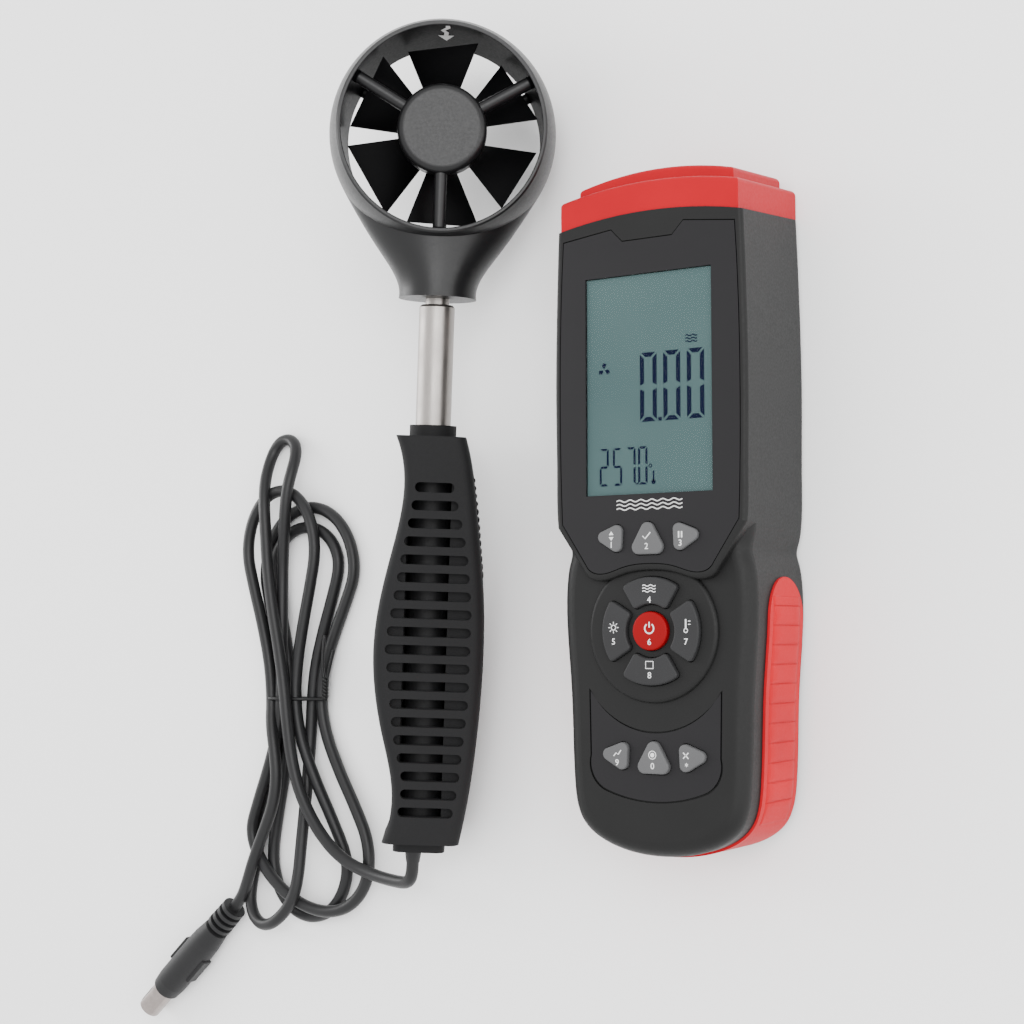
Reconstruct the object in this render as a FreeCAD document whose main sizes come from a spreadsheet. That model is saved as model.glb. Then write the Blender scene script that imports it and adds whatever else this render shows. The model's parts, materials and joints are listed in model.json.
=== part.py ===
import FreeCAD, Part
import math
import os
from FreeCAD import Placement, Rotation, Vector

# A hand-held vane anemometer: a meter lying on its back, and a wired vane probe lying beside it
# on the same surface, with its cable tied in a hank.  Millimetres, +Z up.  The origin is on the
# meter's back face, in the middle of its width; +Y runs along the meter towards its display.

doc = FreeCAD.newDocument("vane_anemometer")
sheet = doc.addObject("Spreadsheet::Sheet", "sizes")

SIZES = {
    # meter case
    "case_thick": 46.0, "seam_level": 16.0, "lower_face": 42.5, "ring_face": 44.0, "wall": 2.4,
    "half_top": 32.4, "half_mid": 33.8, "half_waist": 33.0, "half_notch": 31.4, "half_low": 33.0,
    "half_foot": 30.6, "top_line": 92.0, "crown_rise": 3.5, "foot_line": -107.0,
    "back_round": 3.5, "face_round": 1.5, "lower_round": 5.0, "cap_end": 101.8, "cap_step": 4.0,
    "cap_lift": 4.4, "cap_inset": 1.0, "top_lean": 5.5, "socket_end": 110.9,
    "grip_low": 5.0, "grip_high": 31.0, "grip_depth": 1.6, "grip_proud": 0.8, "grip_start": -20.0,
    # display and keys
    "panel_thick": 1.2, "panel_gap": 0.3, "window_wide": 44.4, "window_long": 69.8, "window_mid": 40.7,
    "glass_thick": 0.9, "key_base": 38.6, "key_flange": 1.0, "key_gap": 0.3, "key_lip": 0.7,
    "upper_key_top": 47.3, "ring_key_top": 45.7, "lower_key_top": 44.1, "ring_centre": -37.0,
    "board_level": 33.4, "board_thick": 1.6, "pad_level": 36.2, "pad_thick": 1.2,
    # battery and fixings
    "battery_long": 48.5, "battery_wide": 26.5, "battery_deep": 17.5, "battery_end": -84.0,
    "door_thick": 2.0, "door_gap": 0.25, "post_radius": 3.4, "screw_radius": 1.4, "head_radius": 2.6,
    # socket and plug
    "shell_radius": 4.45, "socket_radius": 4.55, "socket_depth": 9.0, "plug_radius": 6.0,
    # vane head
    "duct_radius": 34.4, "rim_radius": 36.0, "bulge_radius": 39.5, "duct_half": 17.0,
    "hub_radius": 15.4, "spoke_radius": 2.2, "blade_count": 6, "blade_tip": 33.2, "blade_sweep": 44.0,
    "rotor_hub": 11.8, "shaft_radius": 0.9, "bearing_radius": 2.6, "neck_end": 57.0, "neck_radius": 13.6,
    # telescopic rod and grip
    "inner_tube": 4.15, "outer_tube": 6.2, "tube_wall": 0.7, "outer_start": 60.0, "outer_end": 165.0,
    "inner_start": 44.0, "inner_end": 160.0, "grip_half": 16.0, "grip_top": 104.5, "grip_end": 246.8,
    "slot_count": 19, "slot_pitch": 6.2, "slot_high": 3.4, "slot_deep": 3.2, "channel_half": 7.5,
    # where the probe lies beside the meter
    "probe_x": -85.97, "probe_y": 135.9, "probe_z": 33.96, "probe_yaw": -4.49, "probe_pitch": 3.44,
    "probe_roll": 33.04,
    # cable
    "cable_diameter": 4.0, "hank_high": 8.4,
}
for row, (alias, value) in enumerate(SIZES.items(), start=1):
    sheet.set("A%d" % row, alias)
    sheet.set("B%d" % row, str(value))
    sheet.setAlias("B%d" % row, alias)
doc.recompute()


def size(alias):
    return float(sheet.get(alias))


pieces = {}
FLAT = Placement()


def keep(feature, label, place=FLAT):
    """Name a finished sub-part, which also names its file."""
    feature.Label = label
    feature.Placement = place.multiply(feature.Placement)
    pieces[label] = feature
    return feature


# ---------------------------------------------------------------- sketch and feature helpers

def origin_plane(body, role="XY_Plane"):
    return next(item for item in body.Origin.OriginFeatures if item.Role == role)


def point(x, y):
    return Vector(x, y, 0.0)


def line(start, end):
    return Part.LineSegment(point(*start), point(*end))


def arc(start, middle, end):
    return Part.Arc(point(*start), point(*middle), point(*end))


def curves_of(wire):
    """The lines and arcs of a flat wire, as sketch geometry."""
    curves = []
    for edge in wire.Edges:
        first, last = edge.Vertexes[0].Point, edge.Vertexes[-1].Point
        if isinstance(edge.Curve, Part.Circle) and edge.isClosed():
            curves.append(edge.Curve.copy())
        elif isinstance(edge.Curve, Part.Circle):
            middle = edge.valueAt((edge.FirstParameter + edge.LastParameter) / 2.0)
            curves.append(Part.Arc(first, middle, last))
        else:
            curves.append(Part.LineSegment(first, last))
    return curves


def polygon(points):
    corners = [point(*xy) for xy in points]
    return Part.makePolygon(corners + corners[:1])


def grown(wire, distance):
    """A flat wire moved outwards, with round corners."""
    return wire.makeOffset2D(distance) if abs(distance) > 1e-6 else wire


def rounded(points, radius):
    """Sketch curves of a polygon whose corner arcs have the given radius."""
    return curves_of(grown(polygon(points), radius))


def rectangle(x_low, y_low, x_high, y_high, radius=0.0):
    corners = [(x_low + radius, y_low + radius), (x_high - radius, y_low + radius),
               (x_high - radius, y_high - radius), (x_low + radius, y_high - radius)]
    return rounded(corners, radius)


def disc(x, y, radius):
    return [Part.Circle(point(x, y), Vector(0, 0, 1), radius)]


def new_body(name):
    return doc.addObject("PartDesign::Body", name)


def new_sketch(body, curves, level, role="XY_Plane"):
    """A sketch on the body's own plane, raised to a level given as an expression."""
    sketch = body.newObject("Sketcher::SketchObject", body.Name + "_sketch")
    sketch.AttachmentSupport = [(origin_plane(body, role), "")]
    sketch.MapMode = "FlatFace"
    sketch.setExpression(".AttachmentOffset.Base.z", str(level))
    sketch.addGeometry(curves, False)
    return sketch


def pad(body, curves, level, height, role="XY_Plane"):
    feature = body.newObject("PartDesign::Pad", body.Name + "_pad")
    feature.Profile = new_sketch(body, curves, level, role)
    feature.setExpression("Length", str(height))
    doc.recompute()
    return feature


def pocket(body, curves, level, depth, role="XY_Plane"):
    """Cut downwards from a level, and make sure that material went."""
    before = body.Shape.copy()
    feature = body.newObject("PartDesign::Pocket", body.Name + "_pocket")
    feature.Profile = new_sketch(body, curves, level, role)
    feature.setExpression("Length", str(depth))
    doc.recompute()
    if before.cut(body.Shape).Volume < 1e-3:
        raise RuntimeError("nothing cut from " + body.Name)
    return feature


def level_edges(shape, level, inside=None):
    """Names of the edges that lie flat at a level, where the optional test allows."""
    names = []
    for index, edge in enumerate(shape.Edges, start=1):
        box = edge.BoundBox
        flat = abs(box.ZMin - level) < 1e-3 and abs(box.ZMax - level) < 1e-3
        if flat and (inside is None or inside(edge.CenterOfMass)):
            names.append("Edge%d" % index)
    return names


def fillet(body, level, radius, inside=None):
    names = level_edges(body.Shape, level, inside)
    base = body.Tip
    feature = body.newObject("PartDesign::Fillet", body.Name + "_fillet")
    feature.Base = (base, names)
    feature.setExpression("Radius", str(radius))
    doc.recompute()
    return feature


def cylinder(name, radius, height, base=(0, 0, 0), axis=(0, 0, 1)):
    item = doc.addObject("Part::Cylinder", name)
    item.setExpression("Radius", str(radius))
    item.setExpression("Height", str(height))
    item.Placement = Placement(Vector(*base), Rotation(Vector(0, 0, 1), Vector(*axis)))
    return item


def cone(name, base_radius, end_radius, height, base, axis):
    item = doc.addObject("Part::Cone", name)
    item.setExpression("Radius1", str(base_radius))
    item.setExpression("Radius2", str(end_radius))
    item.setExpression("Height", str(height))
    item.Placement = Placement(Vector(*base), Rotation(Vector(0, 0, 1), Vector(*axis)))
    return item


def block(name, length, width, height, corner):
    item = doc.addObject("Part::Box", name)
    item.setExpression("Length", str(length))
    item.setExpression("Width", str(width))
    item.setExpression("Height", str(height))
    item.Placement = Placement(Vector(*corner), Rotation())
    return item


def cut(name, base, tool):
    item = doc.addObject("Part::Cut", name)
    item.Base = base
    item.Tool = tool
    return item


def fuse(name, shapes):
    item = doc.addObject("Part::MultiFuse", name)
    item.Shapes = shapes
    return item


def solid(name, shape, label, place=FLAT):
    """A sub-part whose form needs Part's own functions; the shape comes first, then its place."""
    item = doc.addObject("Part::Feature", name)
    item.Shape = shape
    return keep(item, label, place)


# ---------------------------------------------------------------- outlines of the meter

def crown(half, level, rise):
    return arc((-half, level), (0.0, level + rise), (half, level))


def smooth(points):
    """One smooth curve through some points."""
    curve = Part.BSplineCurve()
    curve.interpolate([point(*xy) for xy in points])
    return curve


def case_side(inset=0.0):
    """The right-hand side from the cap to the foot: a barrel, a shallow waist notch, a taper."""
    a, b, c = size("half_top") - inset, size("half_mid") - inset, size("half_waist") - inset
    d, e, f = size("half_notch") - inset, size("half_low") - inset, size("half_foot") - inset
    return [(a, size("top_line") + size("top_lean")), (b - 0.3, 64.0), (b, 36.0), (b - 0.3, 12.0), (c, -4.0),
            (0.5 * (c + d), -8.5), (d, -12.0), (0.5 * (d + e), -15.5), (e, -20.0), (0.5 * (e + f), -55.0),
            (f, -84.0), (f - 3.2 + 0.2 * inset, -97.0 + 0.6 * inset), (15.0, -104.9 + inset)]


def case_outline(inset=0.0):
    """The plan of the whole case, closed at the cap end by a bowed line."""
    side = case_side(inset)
    foot = (0.0, size("foot_line") + inset)
    points = side + [foot] + [(-x, y) for x, y in reversed(side)]
    return [smooth(points), crown(side[0][0], side[0][1], size("crown_rise"))]


def shoulder(inset=0.0):
    """The lower end of the raised display part: slanted shoulders that run in to a wave."""
    right = [(23.4 - 0.5 * inset, -18.0 + 0.9 * inset), (20.6 - 0.4 * inset, -20.7 + inset),
             (16.6, -21.2 + inset), (9.0, -19.2 + inset), (0.0, -18.2 + inset)]
    left = [(-x, y) for x, y in reversed(right[:-1])]
    return smooth(right + left)


def below_shoulder():
    """Everything beyond the shoulders, as a closed outline that reaches past the case."""
    curve = shoulder()
    first, last = curve.StartPoint, curve.EndPoint
    wide, start = 60.0, size("half_waist")
    slope = (first.y + 4.0) / (first.x - start)
    out = -4.0 + slope * (wide - start)
    return [curve, line((last.x, last.y), (-wide, out)), line((-wide, out), (-wide, -140.0)),
            line((-wide, -140.0), (wide, -140.0)), line((wide, -140.0), (wide, out)),
            line((wide, out), (first.x, first.y))]


def display_outline(inset):
    """The face panel: it follows the case, with a notch at its top and the wave at its foot."""
    side = case_side(inset)
    top = size("top_line") - inset - 1.2
    points = [(side[0][0] + 0.05, top), (side[1][0], 64.0), (side[2][0], 36.0), (side[3][0], 12.0),
              (side[4][0], -3.0)]
    curve = shoulder(inset)
    first, last = curve.StartPoint, curve.EndPoint
    shelf = [(-points[0][0], top), (-12.8, top + 2.2), (-8.8, top - 2.0), (8.8, top - 2.0), (12.8, top + 2.2),
             (points[0][0], top)]
    return [smooth(points), line(points[-1], (first.x, first.y)), curve,
            line((last.x, last.y), (-points[-1][0], points[-1][1])),
            smooth([(-x, y) for x, y in reversed(points)])] + [
                line(shelf[i], shelf[i + 1]) for i in range(len(shelf) - 1)]


def shield_outline(inset=0.0):
    """The lower key field: a shield with a hollow top edge that follows the key ring."""
    a = (23.2 - inset, -55.0 - inset)
    b = (22.8 - inset, -76.0)
    c = (21.0 - inset, -84.4 + inset)
    d = (17.0 - inset, -87.2 + inset)
    dip = (0.0, -68.2 - inset)
    foot = (0.0, -90.2 + inset)
    return [line(a, b), arc(b, c, d), arc(d, foot, (-d[0], d[1])), arc((-d[0], d[1]), (-c[0], c[1]), (-b[0], b[1])),
            line((-b[0], b[1]), (-a[0], a[1])), arc((-a[0], a[1]), dip, a)]


# ---------------------------------------------------------------- keys

def ring_sector(centre_angle, inner, outer, half_angle):
    """The wire of one sector of the key ring about the power key."""
    middle = size("ring_centre")

    def at(radius, angle):
        turn = math.radians(angle)
        return (radius * math.cos(turn), middle + radius * math.sin(turn))

    low, high = centre_angle - half_angle, centre_angle + half_angle
    parts = [arc(at(outer, low), at(outer, centre_angle), at(outer, high)), line(at(outer, high), at(inner, high)),
             arc(at(inner, high), at(inner, centre_angle), at(inner, low)), line(at(inner, low), at(outer, low))]
    return Part.Wire([part.toShape() for part in parts])


def key_wires():
    """Each key's inner wire and corner radius: the outline is the wire grown by the radius."""
    wires = {}
    for row, level, side in (("upper", 0.0, 0.0), ("lower", -68.0, 0.3)):
        tear = [(-15.4 - side, -7.5 + level), (-10.9, -5.7 + level), (-11.1, -10.2 + level)]
        wires["key_%s_left" % row] = (polygon(tear), 2.0, row)
        wires["key_%s_right" % row] = (polygon([(-x, y) for x, y in tear]), 2.0, row)
        bell = [(0.0, -5.4 + level), (-3.1, -10.9 + level), (3.1, -10.9 + level)]
        wires["key_%s_middle" % row] = (polygon(bell), 2.3, row)
    for name, angle in (("right", 0.0), ("top", 90.0), ("left", 180.0), ("bottom", 270.0)):
        wires["key_ring_" + name] = (ring_sector(angle, 9.7, 15.6, 31.0), 1.3, "ring")
    centre = Part.Circle(point(0.0, size("ring_centre")), Vector(0, 0, 1), 4.0)
    wires["key_power"] = (Part.Wire([centre.toShape()]), 2.05, "ring")
    return wires


def key_holes(rows, extra):
    """Sketch curves of the holes round the keys of some rows."""
    curves = []
    for wire, radius, row in key_wires().values():
        if row in rows:
            curves += curves_of(grown(wire, radius + extra))
    return curves


def build_keys():
    for name, (wire, radius, row) in key_wires().items():
        body = new_body(name)
        pad(body, curves_of(grown(wire, radius + size("key_lip"))), "sizes.key_base", "sizes.key_flange")
        stem = "sizes.%s_key_top - sizes.key_base - sizes.key_flange" % row
        pad(body, curves_of(grown(wire, radius)), "sizes.key_base + sizes.key_flange", stem)
        fillet(body, size(row + "_key_top"), 0.7)
        keep(body, name)


# ---------------------------------------------------------------- meter case

POSTS = [(25.0, 85.5), (-25.0, 85.5), (22.4, -92.5), (-22.4, -92.5)]


def grip_profile(grow):
    """The side grips seen from the side, drawn as (y, z): a long band with a round upper end."""
    low, high = size("grip_low") - grow, size("grip_high") + grow
    radius = (high - low) / 2.0
    start = size("grip_start") + grow
    far = -125.0
    curves = [line((far, low), (start - radius, low)),
              arc((start - radius, low), (start, low + radius), (start - radius, high)),
              line((start - radius, high), (far, high)), line((far, high), (far, low))]
    return Part.Face(Part.Wire([curve.toShape() for curve in curves]))


def grip_ring(grow_in, grow_out, grow_side):
    """The band that runs round the lower case, cut to the grips' side profile."""
    tall = size("grip_high") - size("grip_low") + 8.0
    outer = Part.Face(Part.Wire([curve.toShape() for curve in case_outline(-grow_out)]))
    inner = Part.Face(Part.Wire([curve.toShape() for curve in case_outline(grow_in)]))
    ring = outer.extrude(Vector(0, 0, tall)).cut(inner.extrude(Vector(0, 0, tall)))
    ring.translate(Vector(0, 0, size("grip_low") - 4.0))
    side = grip_profile(grow_side)
    side.rotate(Vector(0, 0, 0), Vector(1, 1, 1), 120.0)
    band = side.extrude(Vector(140.0, 0, 0))
    band.translate(Vector(-70.0, 0, 0))
    return ring.common(band)


def build_grip_band():
    band = grip_ring(size("grip_depth"), size("grip_proud"), 0.0)
    middle = (size("grip_low") + size("grip_high")) / 2.0
    for index in range(12):
        level = -44.0 - 4.2 * index
        half = size("half_low") + (size("half_foot") - size("half_low")) * (level + 20.0) / -68.0
        for side in (-1.0, 1.0):
            rib = Part.makeCylinder(1.6, 18.0, Vector(side * (half + 1.95), level, middle - 9.0), Vector(0, 0, 1))
            band = band.cut(rib)
    solid("grip_band_shape", band, "grip_band")


def beyond_top():
    """Everything past the case's top end, which is bowed and leans back: the back is the longer."""
    thick, wide = size("case_thick"), 40.0
    slope = size("top_lean") / thick
    low, high = -4.0, thick + 4.0
    rise = size("crown_rise") * (wide / size("half_top")) ** 2
    level = size("top_line") + size("crown_rise") - rise + slope * (thick - low)
    curves = [crown(wide, level, rise), line((wide, level), (wide, 140.0)),
              line((wide, 140.0), (-wide, 140.0)), line((-wide, 140.0), (-wide, level))]
    block = face_of(curves).extrude(Vector(0, -slope * (high - low), high - low))
    block.translate(Vector(0, 0, low))
    return block


def case_trim(name):
    """What is taken off both covers: the grips' recess and all that lies past the top end."""
    trim = doc.addObject("Part::Feature", name + "_trim")
    trim.Shape = grip_ring(size("grip_depth"), 6.0, 0.02).fuse(beyond_top())
    return trim


def prism(name, curves, level, height):
    """A plain upright solid, used as one piece of a boolean."""
    body = new_body(name)
    pad(body, curves, level, height)
    return body


def front_outside():
    """The outside of the front cover: lower face, raised display part and key ring."""
    lower = new_body("cover_lower")
    pad(lower, case_outline(), "sizes.seam_level", "sizes.lower_face - sizes.seam_level")
    fillet(lower, size("lower_face"), "sizes.lower_round", lambda p: p.y < 90.0)
    upper = new_body("cover_upper")
    pad(upper, case_outline(), "sizes.seam_level", "sizes.case_thick - sizes.seam_level")
    pocket(upper, below_shoulder(), "sizes.case_thick", "sizes.case_thick - sizes.seam_level")
    fillet(upper, size("case_thick"), "sizes.face_round", lambda p: p.y < 90.0)
    ring = new_body("cover_ring")
    pad(ring, disc(0.0, size("ring_centre"), 22.4), "sizes.lower_face - 3", "sizes.ring_face - sizes.lower_face + 3")
    fillet(ring, size("ring_face"), 1.3)
    return fuse("front_outside", [lower, upper, ring])


def build_front_cover():
    wall, face, lower = size("wall"), size("case_thick"), size("lower_face")
    hollow = prism("cover_hollow", inner_outline(), "sizes.seam_level - 1",
                   "sizes.lower_face - sizes.wall - sizes.seam_level + 1")
    hall_height = face - wall - 0.4 - 30.0
    hall = prism("cover_hall", rectangle(-29.6, 1.0, 29.6, 84.0, 0.5), 30, hall_height)
    key_hall = prism("cover_key_hall", rectangle(-24.5, -13.5, 24.5, 2.0, 0.5), 30, hall_height)
    shell = cut("cover_shell", front_outside(), fuse("cover_rooms", [hollow, hall, key_hall]))
    posts = [cylinder("cover_post_%d" % i, "sizes.post_radius", lower - wall + 0.5 - size("seam_level"),
                      (x, y, size("seam_level"))) for i, (x, y) in enumerate(POSTS)]
    solid_cover = fuse("cover_posts", [shell] + posts)
    half, mid, reach = size("window_wide") / 2.0 - 1.0, size("window_mid"), size("window_long") / 2.0 - 1.0
    gap = size("key_gap")
    tools = [prism("cover_seat", display_outline(2.0), "sizes.case_thick - sizes.panel_thick", 5),
             prism("cover_shield", shield_outline(), "sizes.lower_face - 0.8", 5),
             prism("cover_window", rectangle(-half, mid - reach, half, mid + reach), 40, 8)]
    for name, (wire, radius, row) in key_wires().items():
        tools.append(prism("hole_" + name, curves_of(grown(wire, radius + gap)), 39, 9))
    for i, (x, y) in enumerate(POSTS):
        tools.append(cylinder("cover_screw_%d" % i, "sizes.screw_radius", 12.0, (x, y, size("seam_level") - 0.5)))
    shell = cut("front_cover_opened", solid_cover, fuse("cover_tools", tools))
    keep(cut("front_cover_all", shell, case_trim("front_cover")), "front_cover")


def inner_outline():
    """The case's hollow: thinner walls above the waist than behind the grips."""
    upper, lower = size("wall"), size("grip_depth") + 2.0
    a = (size("half_top") - upper, size("top_line") - 4.0)
    b = (size("half_mid") - upper, 38.0)
    c = (size("half_notch") - upper, -6.0)
    d = (size("half_low") - lower, -20.0)
    e = (size("half_foot") - lower, -88.0)
    f = (23.4, -97.6)
    g = (15.0, -101.6)
    right = [arc(a, b, c), line(c, d), line(d, e), arc(e, f, g)]
    left = [arc((-g[0], g[1]), (-f[0], f[1]), (-e[0], e[1])), line((-e[0], e[1]), (-d[0], d[1])),
            line((-d[0], d[1]), (-c[0], c[1])), arc((-c[0], c[1]), (-b[0], b[1]), (-a[0], a[1]))]
    return right + [line(g, (-g[0], g[1]))] + left + [line((-a[0], a[1]), a)]


DOOR = (-17.0, -90.0, 17.0, -30.0)


def build_rear_cover():
    body = new_body("rear_cover_body")
    pad(body, case_outline(), 0, "sizes.seam_level")
    fillet(body, 0.0, "sizes.back_round", lambda p: p.y < 90.0)
    pocket(body, inner_outline(), "sizes.seam_level", "sizes.seam_level - sizes.wall")
    for x, y in POSTS:
        pad(body, disc(x, y, size("post_radius")), "sizes.wall", "sizes.seam_level - sizes.wall")
        pocket(body, disc(x, y, size("screw_radius") + 0.2), "sizes.seam_level", "sizes.seam_level")
        pocket(body, disc(x, y, size("head_radius") + 0.2), 4.0, 4)
    # the battery opening, with a ledge that the door's rim sits against
    x_low, y_low, x_high, y_high = DOOR
    pad(body, rectangle(x_low - 2, y_low - 2, x_high + 2, y_high + 2, 2.5), "sizes.wall", "1.6")
    pocket(body, rectangle(x_low, y_low, x_high, y_high, 2.0), "sizes.door_thick + sizes.door_gap",
           "sizes.door_thick + sizes.door_gap")
    pocket(body, rectangle(x_low + 2, y_low + 3.5, x_high - 2, y_high - 8, 1.0), "sizes.wall + 2", "3")
    # a boss for the door's screw
    pad(body, disc(0.0, -34.0, 3.0), "sizes.door_thick + sizes.door_gap", "7")
    pocket(body, disc(0.0, -34.0, size("screw_radius")), "sizes.wall + 6.6", "7")
    keep(cut("rear_cover_all", body, case_trim("rear_cover")), "rear_cover")


def build_battery_door():
    x_low, y_low, x_high, y_high = DOOR
    gap = size("door_gap")
    body = new_body("battery_door")
    pad(body, rectangle(x_low + gap, y_low + gap, x_high - gap, y_high - gap, 1.8), 0.1, "sizes.door_thick")
    pad(body, rectangle(x_low + 2.4, y_low + 4, x_high - 2.4, y_low + 5.4), "0.1 + sizes.door_thick", "1.6")
    pocket(body, disc(0.0, -34.0, size("screw_radius") + 0.2), "sizes.door_thick + 0.1", "sizes.door_thick")
    pocket(body, disc(0.0, -34.0, size("head_radius") + 0.2), 1.2, 1.2)
    for row in range(3):
        level = y_high - 12.0 - 2.6 * row
        pocket(body, rectangle(-6.0, level - 0.6, 6.0, level + 0.6, 0.5), 0.6, 0.6)
    keep(body, "battery_door")
    head = cylinder("door_screw_head", "sizes.head_radius", 1.0, (0.0, -34.0, 0.15))
    shank = cylinder("door_screw_shank", "sizes.screw_radius - 0.03", 7.0, (0.0, -34.0, 1.1))
    keep(fuse("door_screw_all", [head, shank]), "door_screw")


def build_case_screws():
    items = []
    for index, (x, y) in enumerate(POSTS):
        items.append(cylinder("case_head_%d" % index, "sizes.head_radius", 2.4, (x, y, 1.5)))
        items.append(cylinder("case_shank_%d" % index, "sizes.screw_radius - 0.02", 22.0, (x, y, 3.8)))
    keep(fuse("case_screws_all", items), "case_screws")


def cap_tier(half, end, low, high):
    """One step of the end cap: flat-sided with a bowed end, leaning back with the case's top end."""
    slope = size("top_lean") / size("case_thick")
    base = size("top_line") - 3.0
    curves = [line((-half, base), (half, base)), line((half, base), (half, end)),
              arc((half, end), (0.0, end + size("crown_rise")), (-half, end)), line((-half, end), (-half, base))]
    tier = face_of(curves).extrude(Vector(0, -slope * (high - low), high - low))
    tier.translate(Vector(0, slope * (size("case_thick") - low), low))
    rim = [edge for edge in tier.Edges if edge.BoundBox.YMin > end - 0.01]
    return tier.makeFillet(1.6, rim)


def build_top_cap():
    thick, half, end = size("case_thick"), size("half_top") - size("cap_inset"), size("cap_end")
    lower = cap_tier(half, end, 0.4, thick - 0.4)
    upper = cap_tier(half - size("cap_step"), end + size("cap_lift"), size("cap_step"), thick - 6.0)
    shape = lower.fuse(upper).removeSplitter()
    room = Part.makeBox(48.0, 30.0, thick - 15.0, Vector(-24.0, size("top_line") - 22.0, 7.5))
    socket = Part.makeCylinder(7.2, 30.0, Vector(12.0, 90.0, thick / 2.0), Vector(0, 1, 0))
    case = face_of(case_outline()).extrude(Vector(0, 0, thick)).cut(beyond_top())
    solid("top_cap_shape", shape.cut(room).cut(socket).cut(case), "top_cap")


def build_socket():
    """The round socket that the probe plugs into, let into the cap, and the contacts in its floor."""
    end, depth, middle = size("socket_end"), size("socket_depth"), size("case_thick") / 2.0
    floor, contact = 2.5, 1.45
    shell = cylinder("socket_shell", 7.0, depth + floor, (12.0, end - depth - floor, middle), (0, 1, 0))
    bore = cylinder("socket_bore", "sizes.socket_radius", depth, (12.0, end - depth, middle), (0, 1, 0))
    well = cylinder("socket_well", 3.0, contact + 1.0, (12.0, end - depth - contact, middle), (0, 1, 0))
    keep(cut("socket_all", shell, fuse("socket_room", [bore, well])), "probe_socket")
    block_start = end - depth - contact + 0.01
    contacts = cylinder("socket_block", 2.98, contact - 0.1, (12.0, block_start, middle), (0, 1, 0))
    keep(contacts, "socket_contacts")


# ---------------------------------------------------------------- display, boards and battery

def build_display():
    gap = size("panel_gap")
    body = new_body("display_panel")
    pad(body, display_outline(2.0 + gap), "sizes.case_thick - sizes.panel_thick", "sizes.panel_thick")
    half, mid, reach = size("window_wide") / 2.0, size("window_mid"), size("window_long") / 2.0
    pocket(body, rectangle(-half, mid - reach, half, mid + reach), "sizes.case_thick", "3")
    pocket(body, key_holes(("upper",), size("key_gap")), "sizes.case_thick", "3")
    keep(body, "display_panel")
    body = new_body("key_panel")
    pad(body, shield_outline(0.5), "sizes.lower_face - 0.8", "0.8")
    pocket(body, key_holes(("lower",), size("key_gap")), "sizes.lower_face", "3")
    keep(body, "key_panel")
    window = block("lcd_window", "sizes.window_wide - 0.1", "sizes.window_long - 0.1", "sizes.glass_thick",
                   (-half + 0.05, mid - reach + 0.05, size("case_thick") - size("panel_thick") + 0.02))
    keep(window, "lcd_window")
    glass = block("lcd_glass", "sizes.window_wide + 4", "sizes.window_long + 4", 2.4,
                  (-half - 2.0, mid - reach - 2.0, 40.4))
    keep(glass, "lcd_glass")
    outer = block("lcd_frame_outer", "sizes.window_wide + 8", "sizes.window_long + 8", 3.0,
                  (-half - 4.0, mid - reach - 4.0, 37.0))
    inner = block("lcd_frame_inner", "sizes.window_wide", "sizes.window_long", 3.0, (-half, mid - reach, 38.2))
    keep(cut("lcd_frame_all", outer, inner), "lcd_backlight")


def build_boards():
    body = new_body("circuit_board")
    pad(body, rectangle(-26.0, -86.0, 26.0, 79.0, 2.0), "sizes.board_level", "sizes.board_thick")
    keep(body, "circuit_board")
    body = new_body("keypad_mat")
    pad(body, rectangle(-23.0, -84.5, 23.0, -1.0, 3.0), "sizes.pad_level", "sizes.pad_thick")
    keep(body, "keypad_mat")
    x_low = -size("battery_wide") / 2.0
    battery = new_body("battery")
    pad(battery, rectangle(x_low, size("battery_end"), -x_low, size("battery_end") + size("battery_long") - 2.0, 2.0),
        4.6, "sizes.battery_deep")
    keep(battery, "battery")
    strap = block("battery_snap", 24.0, 2.4, 12.0, (-12.0, size("battery_end") + size("battery_long") + 0.6, 10.0))
    keep(strap, "battery_snap")


# ---------------------------------------------------------------- the vane head, in its own frame
# The head's centre is at the origin, +Y points away from the grip and +Z is the side that faces up.

YAW = Rotation(Vector(0, 0, 1), size("probe_yaw"))
PITCH = Rotation(Vector(1, 0, 0), size("probe_pitch"))
ROLL = Rotation(Vector(0, 1, 0), size("probe_roll"))
PROBE = Placement(Vector(size("probe_x"), size("probe_y"), size("probe_z")), YAW.multiply(PITCH).multiply(ROLL))


def ellipse_section(level, half_wide, half_deep):
    """A flat elliptic section of the neck, square to its length."""
    if half_wide >= half_deep:
        curve = Part.Ellipse(Vector(0, 0, 0), half_wide, half_deep)
        edge = curve.toShape()
    else:
        edge = Part.Circle(Vector(0, 0, 0), Vector(0, 0, 1), half_wide).toShape()
    wire = Part.Wire([edge])
    wire.rotate(Vector(0, 0, 0), Vector(1, 0, 0), 90.0)
    wire.translate(Vector(0, level, 0))
    return wire


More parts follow.
